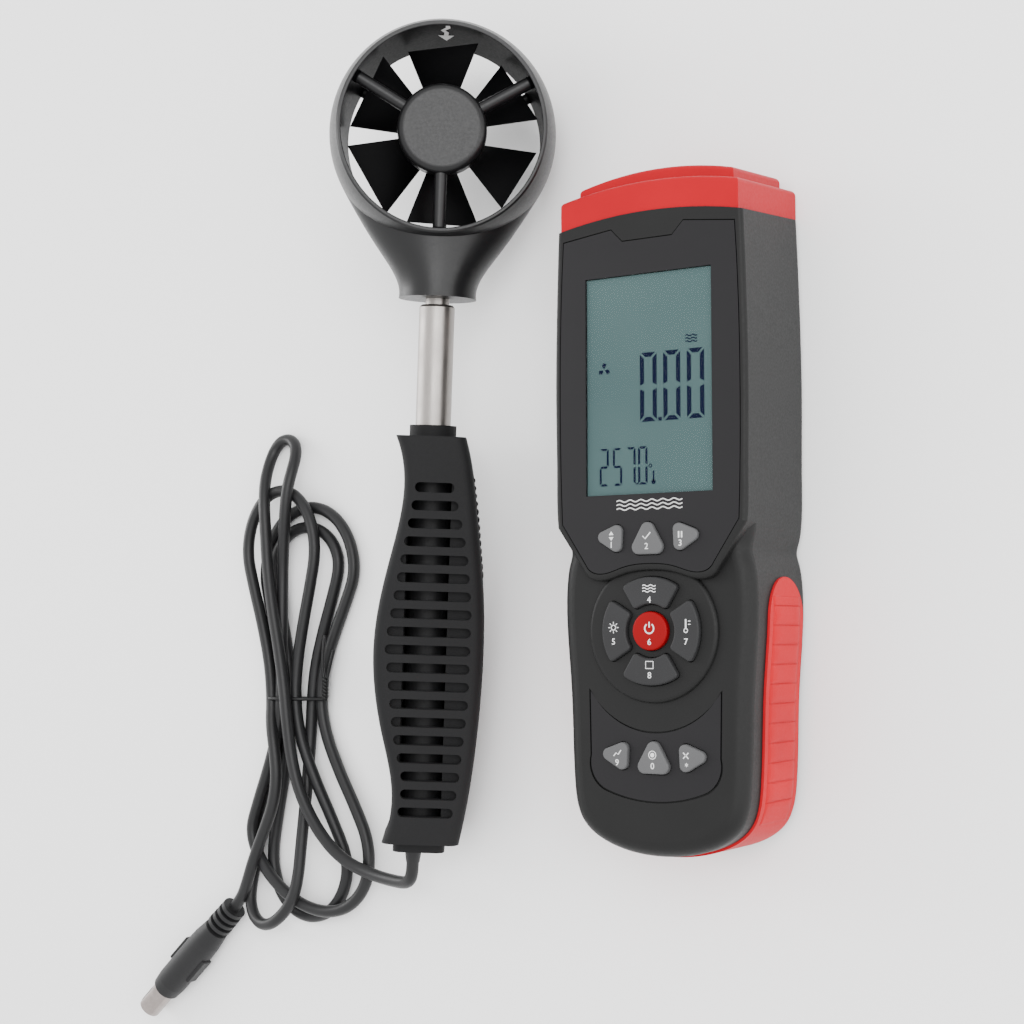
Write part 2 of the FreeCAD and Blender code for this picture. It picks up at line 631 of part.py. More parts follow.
def build_shroud():
    """The duct: a barrel round a straight bore, which flows down into a round neck."""
    rim, bulge, half, duct = size("rim_radius"), size("bulge_radius"), size("duct_half"), size("duct_radius")
    profile = [Part.LineSegment(Vector(duct, 0, -half), Vector(rim - 0.3, 0, -half)),
               Part.Arc(Vector(rim - 0.3, 0, -half), Vector(bulge, 0, -1.0), Vector(rim, 0, half - 0.6)),
               Part.LineSegment(Vector(rim, 0, half - 0.6), Vector(rim - 0.6, 0, half)),
               Part.LineSegment(Vector(rim - 0.6, 0, half), Vector(duct, 0, half)),
               Part.LineSegment(Vector(duct, 0, half), Vector(duct, 0, -half))]
    barrel = Part.Face(Part.Wire([curve.toShape() for curve in profile]))
    barrel = barrel.revolve(Vector(0, 0, 0), Vector(0, 0, 1), 360.0)
    end, radius = size("neck_end"), size("neck_radius")
    sections = [ellipse_section(-9.0, 37.6, 14.6), ellipse_section(-22.0, 33.0, 14.8),
                ellipse_section(-36.0, 24.3, 14.2), ellipse_section(-47.0, 16.6, radius + 0.1),
                ellipse_section(-52.5, radius + 0.3, radius + 0.1), ellipse_section(-end, radius, radius)]
    neck = Part.makeLoft(sections, True, False)
    shape = barrel.fuse(neck)
    shape = shape.cut(Part.makeCylinder(duct, 60.0, Vector(0, 0, -30.0), Vector(0, 0, 1)))
    bore = Part.makeCylinder(size("inner_tube") + 0.01, end - size("inner_start"), Vector(0, -end, 0), Vector(0, 1, 0))
    wires = Part.makeCylinder(1.6, 20.0, Vector(0, -end + 5.0, 0), Vector(0, 1, 0))
    solid("head_shroud_shape", shape.cut(bore).cut(wires).removeSplitter(), "head_shroud", PROBE)


def spoke(angle, radius, level, start):
    reach = size("duct_radius") + 2.0
    bar = Part.makeCylinder(radius, reach - start, Vector(start, 0, level), Vector(1, 0, 0))
    bar.rotate(Vector(0, 0, 0), Vector(0, 0, 1), angle)
    return bar


def build_spiders():
    """Three spokes and a hub on each side of the rotor; the front hub carries a domed cap."""
    hub, duct = size("hub_radius"), size("duct_radius")
    inside = Part.makeCylinder(duct - 0.01, 60.0, Vector(0, 0, -30.0), Vector(0, 0, 1))
    front = Part.makeCylinder(hub, 7.6, Vector(0, 0, 7.4), Vector(0, 0, 1))
    front = front.makeFillet(2.6, [edge for edge in front.Edges if edge.BoundBox.ZMin > 14.9])
    for angle in (30.0, 150.0, 270.0):
        front = front.fuse(spoke(angle, size("spoke_radius"), 11.4, 10.0))
    pocket_room = Part.makeCylinder(size("bearing_radius") + 0.01, 3.2, Vector(0, 0, 7.4), Vector(0, 0, 1))
    front = front.common(inside).cut(pocket_room).removeSplitter()
    solid("front_spider_shape", front, "front_spider", PROBE)
    rear = Part.makeCylinder(11.4, 5.0, Vector(0, 0, -15.6), Vector(0, 0, 1))
    rear = rear.makeFillet(1.2, [edge for edge in rear.Edges if edge.BoundBox.ZMax < -15.5])
    for angle in (30.0, 150.0, 270.0):
        rear = rear.fuse(spoke(angle, 1.9, -13.0, 6.0))
    room = Part.makeCylinder(size("bearing_radius") + 0.01, 3.0, Vector(0, 0, -13.6), Vector(0, 0, 1))
    sensor = Part.makeBox(5.2, 5.2, 1.6, Vector(4.4, -2.6, -12.2))
    solid("rear_spider_shape", rear.common(inside).cut(room).cut(sensor).removeSplitter(), "rear_spider", PROBE)


def build_bearings():
    for name, level in (("front_bearing", 7.41), ("rear_bearing", -13.59)):
        ring = cylinder(name + "_ring", "sizes.bearing_radius", 2.9, (0, 0, level))
        hole = cylinder(name + "_hole", "sizes.shaft_radius + 0.05", 2.9, (0, 0, level))
        keep(cut(name + "_all", ring, hole), name, PROBE)
    keep(block("sensor_chip", 5.0, 5.0, 1.4, (4.5, -2.5, -12.1)), "sensor_chip", PROBE)


def blade(angle):
    """One twisted vane: straight across its tip, steeper at its root."""
    sections = []
    for radius in (size("rotor_hub") - 0.9, size("blade_tip")):
        half = math.radians(size("blade_sweep") / 2.0)
        lead = Vector(radius * math.cos(half), -radius * math.sin(half), 5.2)
        trail = Vector(radius * math.cos(half), radius * math.sin(half), -7.2)
        skin = Vector(0, 0, 0.9)
        sections.append(Part.makePolygon([lead, trail, trail + skin, lead + skin, lead]))
    vane = Part.makeLoft(sections, True, True)
    vane.rotate(Vector(0, 0, 0), Vector(0, 0, 1), angle)
    return vane


def build_rotor():
    hub = Part.makeCylinder(size("rotor_hub"), 14.8, Vector(0, 0, -8.6), Vector(0, 0, 1))
    count = int(size("blade_count"))
    for index in range(count):
        hub = hub.fuse(blade(92.0 + 360.0 / count * index))
    hollow = Part.makeCylinder(size("rotor_hub") - 1.4, 9.0, Vector(0, 0, -8.7), Vector(0, 0, 1))
    boss = Part.makeCylinder(2.4, 14.0, Vector(0, 0, -8.4), Vector(0, 0, 1))
    bore = Part.makeCylinder(size("shaft_radius"), 30.0, Vector(0, 0, -15.0), Vector(0, 0, 1))
    solid("impeller_shape", hub.cut(hollow).fuse(boss).cut(bore).removeSplitter(), "impeller", PROBE)
    keep(cylinder("rotor_shaft", "sizes.shaft_radius", 20.6, (0, 0, -11.0)), "rotor_shaft", PROBE)
    ring = cylinder("magnet_ring", "sizes.rotor_hub - 1.4", 1.6, (0, 0, -1.4))
    hole = cylinder("magnet_hole", 2.4, 1.6, (0, 0, -1.4))
    keep(cut("magnet_all", ring, hole), "rotor_magnet", PROBE)


# ---------------------------------------------------------------- the rod and the grip

def tube(name, outer, inner, start, end, place=PROBE):
    """A round tube along the probe, from one distance below the head's centre to another."""
    length = "%s - (%s)" % (end, start)
    far = sheet_value(end)
    skin = cylinder(name + "_skin", outer, length, (0, -far, 0), (0, 1, 0))
    hole = cylinder(name + "_hole", inner, length, (0, -far, 0), (0, 1, 0))
    return keep(cut(name + "_all", skin, hole), name, place)


def sheet_value(expression):
    """The number behind a plain alias expression."""
    text = str(expression)
    return size(text.split(".")[1]) if text.startswith("sizes.") else float(text)


def build_rod():
    wall = "sizes.tube_wall"
    tube("outer_tube", "sizes.outer_tube", "sizes.outer_tube - " + wall, "sizes.outer_start", "sizes.outer_end")
    tube("inner_tube", "sizes.inner_tube", "sizes.inner_tube - " + wall, "sizes.inner_start", "sizes.inner_end")
    tube("tube_bush", "sizes.outer_tube - %s - 0.01" % wall, "sizes.inner_tube + 0.05", 60.2, 66.2)
    tube("tube_stop", "sizes.outer_tube - %s - 0.08" % wall, "sizes.inner_tube", 155.0, 159.5)
    tip = Part.makeCone(5.6, 6.2, 0.8, Vector(0, -59.2, 0), Vector(0, -1, 0))
    tip = tip.cut(Part.makeCylinder(size("inner_tube") + 0.05, 2.0, Vector(0, -60.5, 0), Vector(0, 1, 0)))
    solid("tube_nose_shape", tip, "tube_nose", PROBE)


LEFT_SIDE = [(-12.2, -105.2), (-8.9, -123.0), (-13.2, -148.4), (-17.6, -177.0), (-14.0, -207.5),
             (-10.1, -224.5), (-12.6, -245.6)]
RIGHT_SIDE = [(14.0, -245.6), (17.4, -225.0), (19.9, -196.0), (20.0, -164.0), (16.8, -133.5),
              (14.0, -114.0), (11.8, -105.2)]


def grip_outline():
    """The grip's plan: hollow at the top for the forefinger, full for the palm."""
    left = Part.BSplineCurve()
    left.interpolate([point(*xy) for xy in LEFT_SIDE])
    right = Part.BSplineCurve()
    right.interpolate([point(*xy) for xy in RIGHT_SIDE])
    return [left, line(LEFT_SIDE[-1], RIGHT_SIDE[0]), right, line(RIGHT_SIDE[-1], LEFT_SIDE[0])]


def side_at(points, level):
    """Where one side of the grip is at a level, by straight interpolation."""
    ordered = sorted(points, key=lambda xy: xy[1])
    for (x0, y0), (x1, y1) in zip(ordered, ordered[1:]):
        if y0 <= level <= y1:
            return x0 + (x1 - x0) * (level - y0) / (y1 - y0)
    return ordered[0][0]


def face_of(curves):
    return Part.Face(Part.Wire([curve.toShape() for curve in curves]))


def slots():
    """The row of round-ended slots across the grip's face, wider where the grip is wider."""
    half, deep = size("slot_high") / 2.0, size("slot_deep")
    bars = []
    for index in range(int(size("slot_count"))):
        level = -122.8 - size("slot_pitch") * index
        low = side_at(LEFT_SIDE, level) + 3.9
        high = side_at(RIGHT_SIDE, level) - 4.2 - max(0.0, 2.6 - 0.7 * index)
        bar = face_of(stadium(low, high, level, half)).extrude(Vector(0, 0, deep + 2.0))
        bar.translate(Vector(0, 0, size("grip_half") - deep))
        bars.append(bar)
    return bars


def stadium(low, high, level, half):
    """A round-ended slot across the grip."""
    return [line((low + half, level + half), (high - half, level + half)),
            arc((high - half, level + half), (high, level), (high - half, level - half)),
            line((high - half, level - half), (low + half, level - half)),
            arc((low + half, level - half), (low, level), (low + half, level + half))]


def grip_block():
    """One half of the grip as a plain solid, face up."""
    return face_of(grip_outline()).extrude(Vector(0, 0, size("grip_half")))


def grip_rounded(shell, radius):
    """The half with its two long outer edges rounded."""
    top = size("grip_half") - 0.01
    long_edges = [edge for edge in shell.Edges if edge.BoundBox.ZMin > top and edge.Length > 100.0]
    return shell.makeFillet(radius, long_edges)


def grip_ribbed(shell):
    """The half with fine upright ribs under the thumb, on its right-hand side."""
    for index in range(13):
        level = -120.0 - 2.75 * index
        shell = shell.fuse(Part.makeCylinder(1.15, 9.0, Vector(side_at(RIGHT_SIDE, level) - 0.55, level, 0)))
    return shell


def grip_hollow(shell):
    """The half with its channel, the seat of the rod and the way out for the cable."""
    channel = size("channel_half")
    deep = size("grip_half") - size("slot_deep") + 0.1
    shell = shell.cut(Part.makeBox(2.0 * channel, 137.5, deep + 1.0, Vector(-channel, -244.0, -1.0)))
    shell = shell.cut(Part.makeCylinder(size("outer_tube") + 0.01, 6.0, Vector(0, -109.0, 0), Vector(0, 1, 0)))
    return shell.cut(Part.makeCylinder(3.0, 6.0, Vector(-2.0, -248.0, 0), Vector(0, 1, 0)))


def build_grip():
    front = grip_hollow(grip_ribbed(grip_rounded(grip_block(), 3.6)))
    for bar in slots():
        front = front.cut(bar)
    solid("grip_front_shape", front, "grip_front", PROBE)
    rear = grip_hollow(grip_ribbed(grip_rounded(grip_block(), 6.4))).mirror(Vector(0, 0, 0), Vector(0, 0, 1))
    seats = [(12.0, -185.0), (-11.0, -185.0)]
    for x, y in seats:
        rear = rear.cut(Part.makeCylinder(1.61, 12.0, Vector(x, y, -16.5)))
    solid("grip_rear_shape", rear, "grip_rear", PROBE)
    screws = [cylinder("grip_screw_%d" % i, 1.6, 8.0, (x, y, -14.6)) for i, (x, y) in enumerate(seats)]
    keep(fuse("grip_screws_all", screws), "grip_screws", PROBE)


def build_grip_ends():
    collar = cylinder("collar_ring", 8.2, 4.0, (0, -105.2, 0), (0, 1, 0))
    hole = cylinder("collar_hole", "sizes.outer_tube + 0.01", 4.0, (0, -105.2, 0), (0, 1, 0))
    keep(cut("collar_all", collar, hole), "grip_collar", PROBE)
    tube("grip_core", "sizes.outer_tube + 0.9", "sizes.outer_tube + 0.02", 110.0, 243.0)
    body = new_body("end_cap")
    pad(body, rectangle(-9.0, -8.5, 9.0, 8.5, 3.0), "245.6", "4.2", "XZ_Plane")
    pocket(body, disc(-2.0, 0.0, 2.6), "249.8", "4.2", "XZ_Plane")
    keep(body, "end_cap", PROBE)


# ---------------------------------------------------------------- the cable, its hank and its plug

def probe_point(x, y, level=0.0):
    return PROBE.multVec(Vector(x, y, level))


def build_gland():
    """A short tapered boot where the cable leaves the grip."""
    gland = cone("gland_cone", 3.1, 2.4, 5.0, (-2.0, -249.8, 0), (0, -1, 0))
    keep(gland, "cable_gland", PROBE)


# The lead from the grip to the hank: out of the gland, down on to the hank, over its tie, and round
# one tall loop beyond its top.  Points of the route, in millimetres, after a straight start.
LEAD = [(-111.4, -125.6, 17.6), (-118.6, -125.8, 14.8), (-127.2, -125.3, 12.2),
        (-136.4, -123.6, 10.9), (-144.6, -120.6, 10.8), (-152.6, -115.0, 10.8), (-160.0, -106.6, 10.8),
        (-166.4, -95.9, 10.8), (-170.3, -83.0, 10.9), (-172.0, -69.9, 11.2), (-173.6, -56.7, 11.2),
        (-176.4, -43.5, 11.0), (-180.0, -28.3, 10.8), (-182.6, -12.9, 10.8), (-183.8, 1.5, 10.8),
        (-185.0, 12.4, 10.4), (-186.6, 20.9, 8.2), (-187.6, 28.0, 4.8), (-186.8, 33.8, 2.6),
        (-183.6, 37.6, 2.0), (-178.8, 38.2, 2.0), (-174.8, 35.4, 2.0), (-173.0, 30.4, 2.0),
        (-172.9, 24.6, 2.8), (-173.8, 17.6, 4.0)]

# The tail from the hank to the plug.
TAIL = [(-196.2, -136.6, 6.2), (-198.9, -140.0, 6.1), (-201.4, -142.8, 6.0)]


def corner_radius(before, corner, after):
    """The largest arc that two runs allow, and how far along each run it starts."""
    a, b = corner - before, after - corner
    reach = 0.45 * min(a.Length, b.Length)
    return reach / math.tan(a.getAngle(b) / 2.0), reach


def round_path(points):
    """Straight runs joined by tangent arcs."""
    edges, start, radii = [], points[0], []
    for before, corner, after in zip(points, points[1:], points[2:]):
        radius, reach = corner_radius(before, corner, after)
        radii.append(radius)
        enter = corner + (before - corner).normalize() * reach
        leave = corner + (after - corner).normalize() * reach
        inward = ((enter + leave) * 0.5 - corner).normalize()
        half_turn = (corner - before).getAngle(after - corner) / 2.0
        middle = corner + inward * (radius / math.cos(half_turn) - radius)
        edges.append(Part.LineSegment(start, enter).toShape())
        edges.append(Part.Arc(enter, middle, leave).toShape())
        start = leave
    edges.append(Part.LineSegment(start, points[-1]).toShape())
    return Part.Wire(edges), radii


def cable_tube(name, label, points):
    """A round tube along a route, with its corner radii and its volume checked."""
    radius = size("cable_diameter") / 2.0
    path, radii = round_path(points)
    section = Part.Wire([Part.Circle(points[0], points[1] - points[0], radius).toShape()])
    tube_solid = path.makePipeShell([section], True, False)
    expected = math.pi * radius ** 2 * path.Length
    print("%s: length %.1f, corner radii %s" % (label, path.Length, [round(r, 1) for r in radii]))
    if abs(tube_solid.Volume - expected) > 0.01 * expected:
        raise RuntimeError("tube volume %.1f, expected %.1f" % (tube_solid.Volume, expected))
    solid(name, tube_solid, label)


HANK_EDGE = [(-179.5, 20.4), (-166.0, 16.4), (-152.0, 3.0), (-144.2, -13.8), (-148.0, -32.0), (-155.6, -52.0),
             (-156.6, -64.0), (-151.6, -80.0), (-142.0, -100.0), (-135.8, -119.0), (-137.6, -133.0),
             (-147.0, -141.8), (-158.0, -144.6), (-168.0, -147.2), (-178.0, -147.6), (-187.0, -150.4),
             (-194.6, -147.2), (-198.0, -138.0), (-198.2, -124.0), (-196.4, -108.0), (-190.4, -84.0),
             (-186.6, -64.0), (-190.0, -44.0), (-196.2, -24.0), (-199.2, -8.0), (-195.4, 7.0), (-188.0, 16.6)]


def build_hank():
    """The outer shape of the tied hank, and the wire tie round its waist."""
    curve = Part.BSplineCurve()
    curve.interpolate([point(*xy) for xy in HANK_EDGE], PeriodicFlag=True)
    tall = size("hank_high")
    hank = Part.Face(Part.Wire([curve.toShape()])).extrude(Vector(0, 0, tall))
    groove = Part.makeBox(60.0, 2.4, 20.0, Vector(-200.0, -63.2, -1.0))
    waist = Part.makeBox(29.0, 2.4, tall - 2.2, Vector(-186.1, -63.2, 1.1))
    solid("hank_shape", hank.cut(groove).fuse(waist).removeSplitter(), "cable_hank")
    ring = Part.makeBox(31.0, 2.4, tall - 0.2, Vector(-187.1, -63.2, 0.1)).cut(waist)
    solid("tie_shape", ring, "twist_tie")


PLUG_START = Vector(*TAIL[-1])
PLUG = Placement(PLUG_START, Rotation(Vector(1, 0, 0), Vector(-0.714, -0.700, 0.0)))


def build_plug():
    """The plug: a ribbed strain relief, a barrel with two side grips, a split metal shell and pins."""
    outline = [(0.0, 0.0), (0.0, 4.6)]
    for index in range(4):
        start = 3.0 * index
        ring = 4.75 + 0.1 * index
        outline += [(start + 0.01, ring), (start + 1.6, ring), (start + 1.7, 3.2), (start + 2.9, 3.2)]
    outline += [(12.4, 4.9), (19.0, 5.8), (24.0, 6.0), (44.0, 6.0), (48.4, 5.5), (49.0, 5.0), (49.0, 0.0)]
    wire = Part.makePolygon([Vector(x, y, 0) for x, y in outline] + [Vector(0, 0, 0)])
    barrel = Part.Face(wire).revolve(Vector(0, 0, 0), Vector(1, 0, 0), 360.0)
    for side in (-1.0, 1.0):
        grip = Part.makeBox(12.0, 2.0, 5.0, Vector(25.0, side * 5.7 - 1.0, -2.5))
        barrel = barrel.fuse(grip.makeFillet(0.6, grip.Edges))
    radius = size("shell_radius")
    root = radius - 0.25
    barrel = barrel.cut(Part.makeCylinder(root, 6.0, Vector(43.0, 0, 0), Vector(1, 0, 0)))
    solid("plug_body_shape", barrel.removeSplitter(), "plug_body", PLUG)
    shell = Part.makeCylinder(root, 6.0, Vector(43.0, 0, 0), Vector(1, 0, 0))
    shell = shell.fuse(Part.makeCylinder(radius, 11.6, Vector(49.0, 0, 0), Vector(1, 0, 0)))
    shell = shell.cut(Part.makeCylinder(root - 0.35, 17.6, Vector(43.0, 0, 0), Vector(1, 0, 0)))
    for turn in (55.0, 235.0):
        key = Part.makeBox(9.0, 1.3, 6.0, Vector(52.0, -0.65, 0.0))
        key.rotate(Vector(0, 0, 0), Vector(1, 0, 0), turn)
        shell = shell.cut(key)
    solid("plug_shell_shape", shell, "plug_shell", PLUG)
    insert = Part.makeCylinder(root - 0.37, 9.0, Vector(43.2, 0, 0), Vector(1, 0, 0))
    pins = []
    for index in range(5):
        angle = math.radians(-30.0 + 60.0 * index)
        y, level = 2.3 * math.cos(angle), 2.3 * math.sin(angle)
        pins.append(Part.makeCylinder(0.5, 14.5, Vector(44.5, y, level), Vector(1, 0, 0)))
        insert = insert.cut(pins[-1])
    solid("plug_insert_shape", insert, "plug_insert", PLUG)
    solid("plug_pins_shape", Part.makeCompound(pins), "plug_pins", PLUG)


def build_cable():
    build_gland()
    start = [probe_point(-2.0, -254.81), probe_point(-2.0, -259.6)]
    cable_tube("lead_shape", "cable_lead", start + [Vector(*xyz) for xyz in LEAD])
    build_hank()
    cable_tube("tail_shape", "cable_tail", [Vector(*xyz) for xyz in TAIL])
    build_plug()


# ---------------------------------------------------------------- build, check and write

def build_all():
    build_rear_cover()
    build_front_cover()
    build_grip_band()
    build_top_cap()
    build_socket()
    build_battery_door()
    build_case_screws()
    build_display()
    build_keys()
    build_boards()
    build_shroud()
    build_spiders()
    build_bearings()
    build_rotor()
    build_rod()
    build_grip()
    build_grip_ends()
    build_cable()


def check_and_write():
    doc.recompute()
    for item in doc.Objects:
        if "Invalid" in item.State or "Error" in item.State:
            raise RuntimeError("failed object: %s %s" % (item.Name, item.State))
    os.makedirs("parts", exist_ok=True)
    for label, item in pieces.items():
        shape = item.Shape
        if shape.isNull() or not shape.isValid():
            raise RuntimeError("bad shape: " + label)
        print("%-18s %8.1f mm3, solids %d" % (label, shape.Volume, len(shape.Solids)))
        shape.exportStep("parts/%s.step" % label)


build_all()
check_and_write()
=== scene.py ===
import json
import math

import bmesh
import bpy
from mathutils import Matrix, Vector
from mathutils.bvhtree import BVHTree


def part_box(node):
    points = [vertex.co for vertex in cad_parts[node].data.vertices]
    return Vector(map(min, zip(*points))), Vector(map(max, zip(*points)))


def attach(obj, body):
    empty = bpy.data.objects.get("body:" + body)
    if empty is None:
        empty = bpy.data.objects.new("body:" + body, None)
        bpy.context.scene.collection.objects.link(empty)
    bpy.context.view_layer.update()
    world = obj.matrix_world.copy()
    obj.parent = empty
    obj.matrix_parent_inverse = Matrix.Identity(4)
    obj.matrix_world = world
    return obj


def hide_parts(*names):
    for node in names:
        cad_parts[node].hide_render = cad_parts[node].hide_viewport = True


# The looks of a hand-held vane anemometer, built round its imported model.  Metres, in the model's own
# frame: the meter lies on its back with +Y along it, and the vane probe lies at its left.

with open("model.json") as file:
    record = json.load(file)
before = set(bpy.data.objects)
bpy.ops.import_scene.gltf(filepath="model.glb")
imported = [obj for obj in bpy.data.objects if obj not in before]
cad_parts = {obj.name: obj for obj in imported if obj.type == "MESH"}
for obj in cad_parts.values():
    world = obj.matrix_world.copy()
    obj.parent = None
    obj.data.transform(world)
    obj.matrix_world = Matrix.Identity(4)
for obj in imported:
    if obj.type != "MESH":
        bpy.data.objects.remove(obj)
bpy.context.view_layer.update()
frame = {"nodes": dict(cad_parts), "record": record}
nodes = frame["nodes"]
MM = 0.001
PER_METRE = 1000.0

# Where the probe lies: its head's centre and its three turns, as the model places it.
HEAD_CENTRE = Vector((-0.08597, 0.1359, 0.03396))
PROBE_TURN = (Matrix.Rotation(math.radians(-4.49), 3, "Z")
              @ Matrix.Rotation(math.radians(3.44), 3, "X")
              @ Matrix.Rotation(math.radians(33.04), 3, "Y"))
PROBE = Matrix.Translation(HEAD_CENTRE) @ PROBE_TURN.to_4x4()
# The turn that lays a material's lines along the probe.
ALONG_PROBE = tuple(-angle for angle in PROBE_TURN.to_euler())

# The radius of the duct that the rotor turns in, in millimetres.
DUCT = 34.3


def in_scene(name, data):
    """An object of some data, put in the scene."""
    item = bpy.data.objects.new(name, data)
    bpy.context.scene.collection.objects.link(item)
    return item


def mesh_piece(name, mesh):
    """An object of the closed shapes drawn in a bmesh, facing outwards."""
    bmesh.ops.recalc_face_normals(mesh, faces=mesh.faces)
    data = bpy.data.meshes.new(name)
    mesh.to_mesh(data)
    mesh.free()
    return in_scene(name, data)


# ---------------------------------------------------------------- camera, floor and light

# The camera looks at the middle of the meter's face, from its right and a little from its foot, and
# stands to the left of that line so that the probe is in view too.
CAMERA_TURN = math.radians(32.0)
CAMERA_TIP = math.radians(5.0)
CAMERA_AIM = Vector((0.0, 0.0, 0.046))
CAMERA_DISTANCE = 0.541
CAMERA_ASIDE = -0.0424
CAMERA_LENS = 61.03
CAMERA_SENSOR = 36.0
CAMERA_NEAREST, CAMERA_FARTHEST = 0.01, 20.0

SKY_STRENGTH = 1.95
# Each light's name, place, what it faces, width, height and power.
LIGHTS = [("top_light", (0.75, 0.35, 1.5), (0.0, 0.0, 0.0), 1.0, 1.0, 20.0),
          ("right_light", (1.2, 0.0, 0.35), (0.0, 0.0, 0.03), 0.4, 1.4, 8.0),
          ("left_light", (-1.3, 0.3, 0.30), (-0.1, 0.0, 0.03), 0.4, 1.4, 13.0)]

# The floor's half width, and its level, a little below the model so that the two don't touch.
FLOOR_HALF = 3.0
FLOOR_LEVEL = -0.0003


def build_camera():
    back = Vector((math.tan(CAMERA_TURN), -math.tan(CAMERA_TIP), 1.0)).normalized()
    right = Vector((math.cos(CAMERA_TURN), 0.0, -math.sin(CAMERA_TURN)))
    up = back.cross(right)
    data = bpy.data.cameras.new("camera")
    data.lens = CAMERA_LENS
    data.sensor_width = CAMERA_SENSOR
    data.clip_start = CAMERA_NEAREST
    data.clip_end = CAMERA_FARTHEST
    camera = in_scene("camera", data)
    place = Matrix((right, up, back)).transposed().to_4x4()
    place.translation = CAMERA_AIM + CAMERA_DISTANCE * back + CAMERA_ASIDE * right
    camera.matrix_world = place
    bpy.context.scene.camera = camera


def area_light(name, place, aim, width, height, power):
    data = bpy.data.lights.new(name, "AREA")
    data.shape = "RECTANGLE"
    data.size = width
    data.size_y = height
    data.energy = power
    light = in_scene(name, data)
    light.location = place
    light.rotation_euler = (Vector(aim) - Vector(place)).to_track_quat("-Z", "Y").to_euler()


def build_light():
    world = bpy.data.worlds.new("studio")
    bpy.context.scene.world = world
    world.use_nodes = True
    sky = world.node_tree.nodes["Background"]
    sky.inputs["Color"].default_value = (1.0, 1.0, 1.0, 1.0)
    sky.inputs["Strength"].default_value = SKY_STRENGTH
    for light in LIGHTS:
        area_light(*light)


def build_floor():
    mesh = bpy.data.meshes.new("floor")
    corners = [(x * FLOOR_HALF, y * FLOOR_HALF, 0.0) for x, y in ((-1, -1), (1, -1), (1, 1), (-1, 1))]
    mesh.from_pydata(corners, [], [(0, 1, 2, 3)])
    floor = in_scene("floor", mesh)
    floor.location = (0.0, 0.0, FLOOR_LEVEL)
    paper = Surface("paper", Base_Color=(0.96, 0.96, 0.96, 1.0), Roughness=0.9, Specular_IOR_Level=0.1)
    mesh.materials.append(paper.material)


# ---------------------------------------------------------------- materials

def srgb(red, green, blue):
    """A colour given as a screen shows it, from 0 to 255, as the linear colour a shader takes."""
    def linear(level):
        level = level / 255.0
        return level / 12.92 if level <= 0.04045 else ((level + 0.055) / 1.055) ** 2.4
    return (linear(red), linear(green), linear(blue), 1.0)


class Surface:
    """A node material, with short calls for what the surfaces here are made of."""

    def __init__(self, name, **sockets):
        self.material = bpy.data.materials.new(name)
        self.material.use_nodes = True
        self.tree = self.material.node_tree
        self.shader = self.tree.nodes["Principled BSDF"]
        self.set(**sockets)

    def set(self, **sockets):
        """Give the shader plain values, with each socket's name written with underscores."""
        for socket, value in sockets.items():
            self.shader.inputs[socket.replace("_", " ")].default_value = value

    def feed(self, **sockets):
        """Let other nodes' outputs drive the shader's sockets."""
        for socket, value in sockets.items():
            self.link(value, self.shader.inputs[socket.replace("_", " ")])

    def add(self, kind, **values):
        node = self.tree.nodes.new(kind)
        for name, value in values.items():
            setattr(node, name, value)
        return node

    def link(self, start, end):
        self.tree.links.new(start, end)

    def place(self, scale=(1.0, 1.0, 1.0), turn=(0.0, 0.0, 0.0), shift=(0.0, 0.0, 0.0)):
        """Object coordinates in millimetres, stretched, turned and shifted."""
        coordinates = self.add("ShaderNodeTexCoord")
        mapping = self.add("ShaderNodeMapping")
        mapping.inputs["Scale"].default_value = [PER_METRE * factor for factor in scale]
        mapping.inputs["Rotation"].default_value = turn
        mapping.inputs["Location"].default_value = shift
        self.link(coordinates.outputs["Object"], mapping.inputs["Vector"])
        return mapping.outputs["Vector"]

    def maths(self, kind, operation, *values):
        """A maths node, fed with other nodes' outputs or with plain values."""
        node = self.add(kind, operation=operation)
        for socket, value in zip(node.inputs, values):
            if isinstance(value, bpy.types.NodeSocket):
                self.link(value, socket)
            else:
                socket.default_value = value
        return node

    def noise(self, vector, scale, detail=3.0, roughness=0.55):
        noise = self.add("ShaderNodeTexNoise")
        noise.inputs["Scale"].default_value = scale
        noise.inputs["Detail"].default_value = detail
        noise.inputs["Roughness"].default_value = roughness
        self.link(vector, noise.inputs["Vector"])
        return noise.outputs["Fac"]

    def between(self, value, low, high, start=0.3, end=0.7):
        """Turn values from start to end into values from low to high; noise lies mostly from 0.3 to 0.7."""
        mapped = self.add("ShaderNodeMapRange")
        for socket, limit in (("From Min", start), ("From Max", end), ("To Min", low), ("To Max", high)):
            mapped.inputs[socket].default_value = limit
        self.link(value, mapped.inputs["Value"])
        return mapped.outputs["Result"]

    def around(self, middle, value, spread):
        """Turn noise into values from a little below a middle value to a little above it."""
        return self.between(value, middle + spread[0], middle + spread[1])

    def mixed(self, value, first, second):
        mix = self.add("ShaderNodeMix", data_type="RGBA")
        mix.inputs["A"].default_value = first
        mix.inputs["B"].default_value = second
        self.link(value, mix.inputs["Factor"])
        return mix.outputs["Result"]

    def bump(self, value, depth):
        """Raise the surface by a height map of a depth in millimetres."""
        bump = self.add("ShaderNodeBump")
        bump.inputs["Distance"].default_value = depth * MM
        bump.inputs["Strength"].default_value = 1.0
        self.link(value, bump.inputs["Height"])
        self.feed(Normal=bump.outputs["Normal"])


def shade_of(colour, share):
    """A colour made darker or lighter by a share of itself."""
    return tuple(min(1.0, channel * share) for channel in colour[:3]) + (1.0,)


# How far the roughness of moulded plastic, and of metal and print, varies below and above its value.
MOULD_GLOSS = (-0.05, 0.07)
PATCH_GLOSS = (-0.05, 0.08)
# How dark the darkest parts of metal and print are, as a share of their colour; on metal these dark lines are
# partly drawn lines and partly painted dark reflections.
METAL_SHADE, INK_SHADE = 0.82, 0.86


